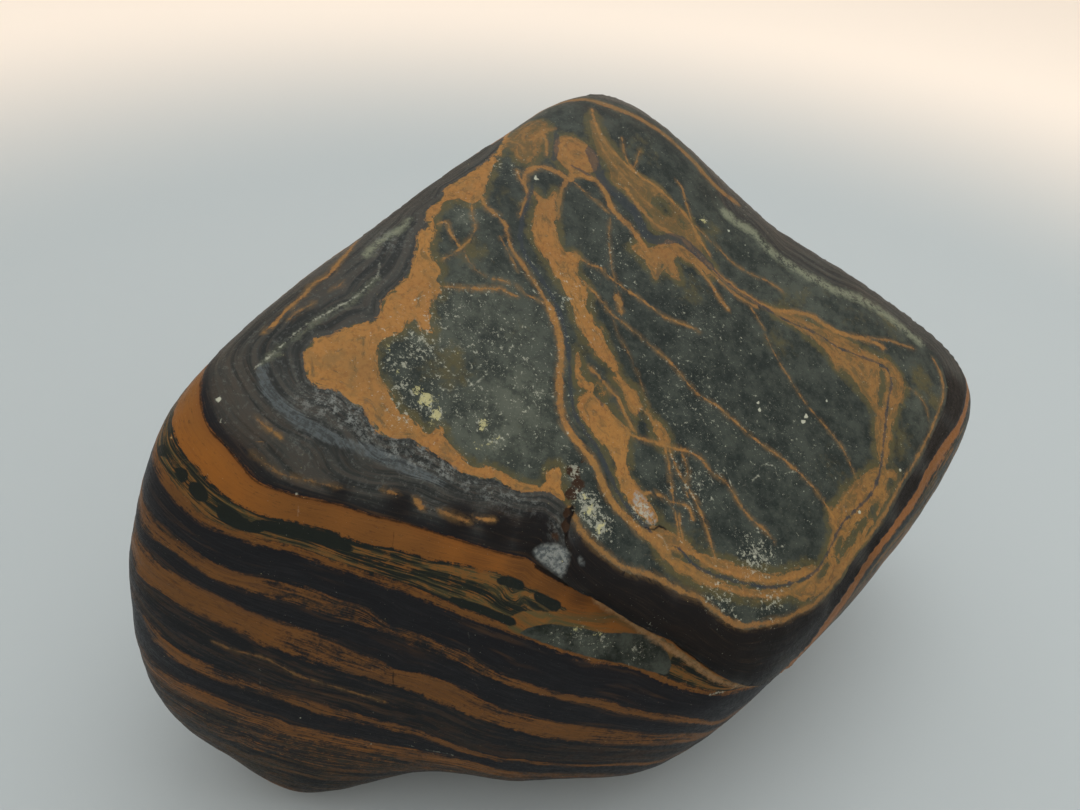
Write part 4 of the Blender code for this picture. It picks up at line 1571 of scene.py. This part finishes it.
class STONE_OT_make_stone(bpy.types.Operator):
    """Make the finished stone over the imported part"""

    bl_idname = "stone.make_stone"
    bl_label = "Make the stone"

    def execute(self, context):
        sizes = context.scene.stone_sizes
        mesh = fine_mesh(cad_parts[NODE], sizes.mesh_step, sizes.smoothing)
        mesh.name = "banded_ironstone"
        soften_ledge(Stone(mesh), mesh)
        stone = Stone(mesh)
        fields, groups = marking_fields(stone)
        for name, values in fields.items():
            write_field(mesh, name, values)
        raise_relief(stone, mesh, fields, sizes.unevenness)
        mesh.materials.clear()
        mesh.materials.append(StoneFinish(groups, context.scene.stone_colours).build())
        mesh.shade_smooth()
        piece = bpy.data.objects.new("ironstone_cobble", mesh)
        context.scene.collection.objects.link(piece)
        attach(piece, "root")
        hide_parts(NODE)
        return {"FINISHED"}


# The stage, in metres: where the floor and the sky fade, and the lamp above.
FLAT_SHARE = 0.9  # share of the floor's radius that is one flat ring of faces
COVE_STEPS = 13
RING_STEPS = 96
FLOOR_FADE = (0.23, 0.52)  # distances between which the floor turns to its far colour
FLOOR_ROUGHNESS, FLOOR_SPECULAR = 0.7, 0.2
ROOM_COLOUR = (1.0, 0.97, 0.94, 1.0)
BRIGHT_SIDE = (0.30, 0.30, 0.906)  # the soft room is brightest towards this side
DIM_SIDE = 0.40  # and dims to this share on the other
ROOM_FADE = (-0.7, 0.8)  # where the fade from one side to the other begins and ends
LAMP_SIZE = 0.55
LAMP_COLOUR = (1.0, 0.97, 0.93)
LAMP_PLACE = Vector((0.12, 0.10, 0.62))
LAMP_AIM = Vector((0, 0, 0.04))


class STONE_OT_make_stage(bpy.types.Operator):
    """Make the floor, the soft light and the camera"""

    bl_idname = "stone.make_stage"
    bl_label = "Make the stage"

    def execute(self, context):
        settings = context.scene.stone_stage
        self.make_floor(context, settings)
        self.make_room(context, settings)
        self.make_lamp(context, settings)
        self.make_camera(context)
        return {"FINISHED"}

    def make_floor(self, context, settings):
        flat, bend = settings.floor_radius, settings.cove_radius
        profile = [(0, 0), (FLAT_SHARE * flat, 0)]
        for turn in np.linspace(0, math.pi / 2, COVE_STEPS):
            profile.append((flat + bend * math.sin(turn), bend * (1 - math.cos(turn))))
        profile.append((flat + bend, settings.wall_height))
        shape = bmesh.new()
        corners = [shape.verts.new((out, 0, up)) for out, up in profile]
        edges = [shape.edges.new(pair) for pair in zip(corners, corners[1:])]
        bmesh.ops.spin(
            shape, geom=corners + edges, cent=(0, 0, 0), axis=(0, 0, 1), angle=2 * math.pi, steps=RING_STEPS
        )
        bmesh.ops.remove_doubles(shape, verts=shape.verts, dist=1e-5)
        bmesh.ops.recalc_face_normals(shape, faces=shape.faces)
        mesh = bpy.data.meshes.new("floor")
        shape.to_mesh(mesh)
        shape.free()
        mesh.materials.append(self.floor_finish(settings))
        mesh.shade_smooth()
        floor = bpy.data.objects.new("floor", mesh)
        context.scene.collection.objects.link(floor)

    def floor_finish(self, settings):
        recipe = Recipe("plain floor")
        across, along, _ = recipe.split(recipe.place)
        square = recipe.add(recipe.times(across, across), recipe.times(along, along))
        share = recipe.soft(recipe.math("SQRT", square), *FLOOR_FADE)
        tone = recipe.mix(share, opaque(settings.floor_colour), opaque(settings.far_colour))
        recipe.feed(recipe.finish.inputs["Base Color"], tone)
        recipe.finish.inputs["Roughness"].default_value = FLOOR_ROUGHNESS
        recipe.finish.inputs["Specular IOR Level"].default_value = FLOOR_SPECULAR
        return recipe.material

    def make_room(self, context, settings):
        world = bpy.data.worlds.new("soft room")
        world.use_nodes = True
        nodes, links = world.node_tree.nodes, world.node_tree.links
        background = nodes["Background"]
        background.inputs["Color"].default_value = ROOM_COLOUR
        towards = nodes.new("ShaderNodeVectorMath")
        towards.operation = "DOT_PRODUCT"
        towards.inputs[1].default_value = BRIGHT_SIDE
        links.new(nodes.new("ShaderNodeTexCoord").outputs["Generated"], towards.inputs[0])
        fade = nodes.new("ShaderNodeMapRange")
        fade.interpolation_type = "SMOOTHSTEP"
        strength = settings.room_light
        for socket, value in zip(fade.inputs[1:], (*ROOM_FADE, DIM_SIDE * strength, strength)):
            socket.default_value = value
        links.new(towards.outputs["Value"], fade.inputs[0])
        links.new(fade.outputs[0], background.inputs["Strength"])
        context.scene.world = world

    def make_lamp(self, context, settings):
        light = bpy.data.lights.new("top light", "AREA")
        light.shape = "DISK"
        light.size = LAMP_SIZE
        light.energy = settings.top_light
        light.color = LAMP_COLOUR
        lamp = bpy.data.objects.new("top light", light)
        lamp.location = LAMP_PLACE
        lamp.rotation_euler = (LAMP_AIM - lamp.location).to_track_quat("-Z", "Y").to_euler()
        context.scene.collection.objects.link(lamp)

    def make_camera(self, context):
        camera = bpy.data.cameras.new("camera")
        camera.sensor_width = SENSOR_WIDTH
        camera.lens = SENSOR_WIDTH * FOCAL_PIXELS / PHOTO_SIZE[0]
        camera.clip_start = 0.01
        view = bpy.data.objects.new("camera", camera)
        view.matrix_world = Matrix.Translation(CAMERA_PLACE) @ camera_turn().to_4x4()
        context.scene.collection.objects.link(view)
        context.scene.camera = view


class STONE_PT_panel(bpy.types.Panel):
    """Sizes, colours and the buttons that make the stone and its stage"""

    bl_idname = "STONE_PT_panel"
    bl_label = "Banded stone"
    bl_space_type = "VIEW_3D"
    bl_region_type = "UI"
    bl_category = "Banded stone"

    def draw(self, context):
        for group in (context.scene.stone_sizes, context.scene.stone_colours, context.scene.stone_stage):
            for name in group.__annotations__:
                self.layout.prop(group, name)
        self.layout.operator(STONE_OT_make_stone.bl_idname)
        self.layout.operator(STONE_OT_make_stage.bl_idname)


CLASSES = (StoneSizes, StoneColours, StageSettings, STONE_OT_make_stone, STONE_OT_make_stage, STONE_PT_panel)


def register():
    for made in CLASSES:
        bpy.utils.register_class(made)
    bpy.types.Scene.stone_sizes = PointerProperty(type=StoneSizes)
    bpy.types.Scene.stone_colours = PointerProperty(type=StoneColours)
    bpy.types.Scene.stone_stage = PointerProperty(type=StageSettings)


def unregister():
    del bpy.types.Scene.stone_stage
    del bpy.types.Scene.stone_colours
    del bpy.types.Scene.stone_sizes
    for made in reversed(CLASSES):
        bpy.utils.unregister_class(made)


def main():
    register()
    bpy.context.scene.view_settings.view_transform = "Standard"
    bpy.ops.stone.make_stage()
    bpy.ops.stone.make_stone()


if __name__ == "__main__":
    main()
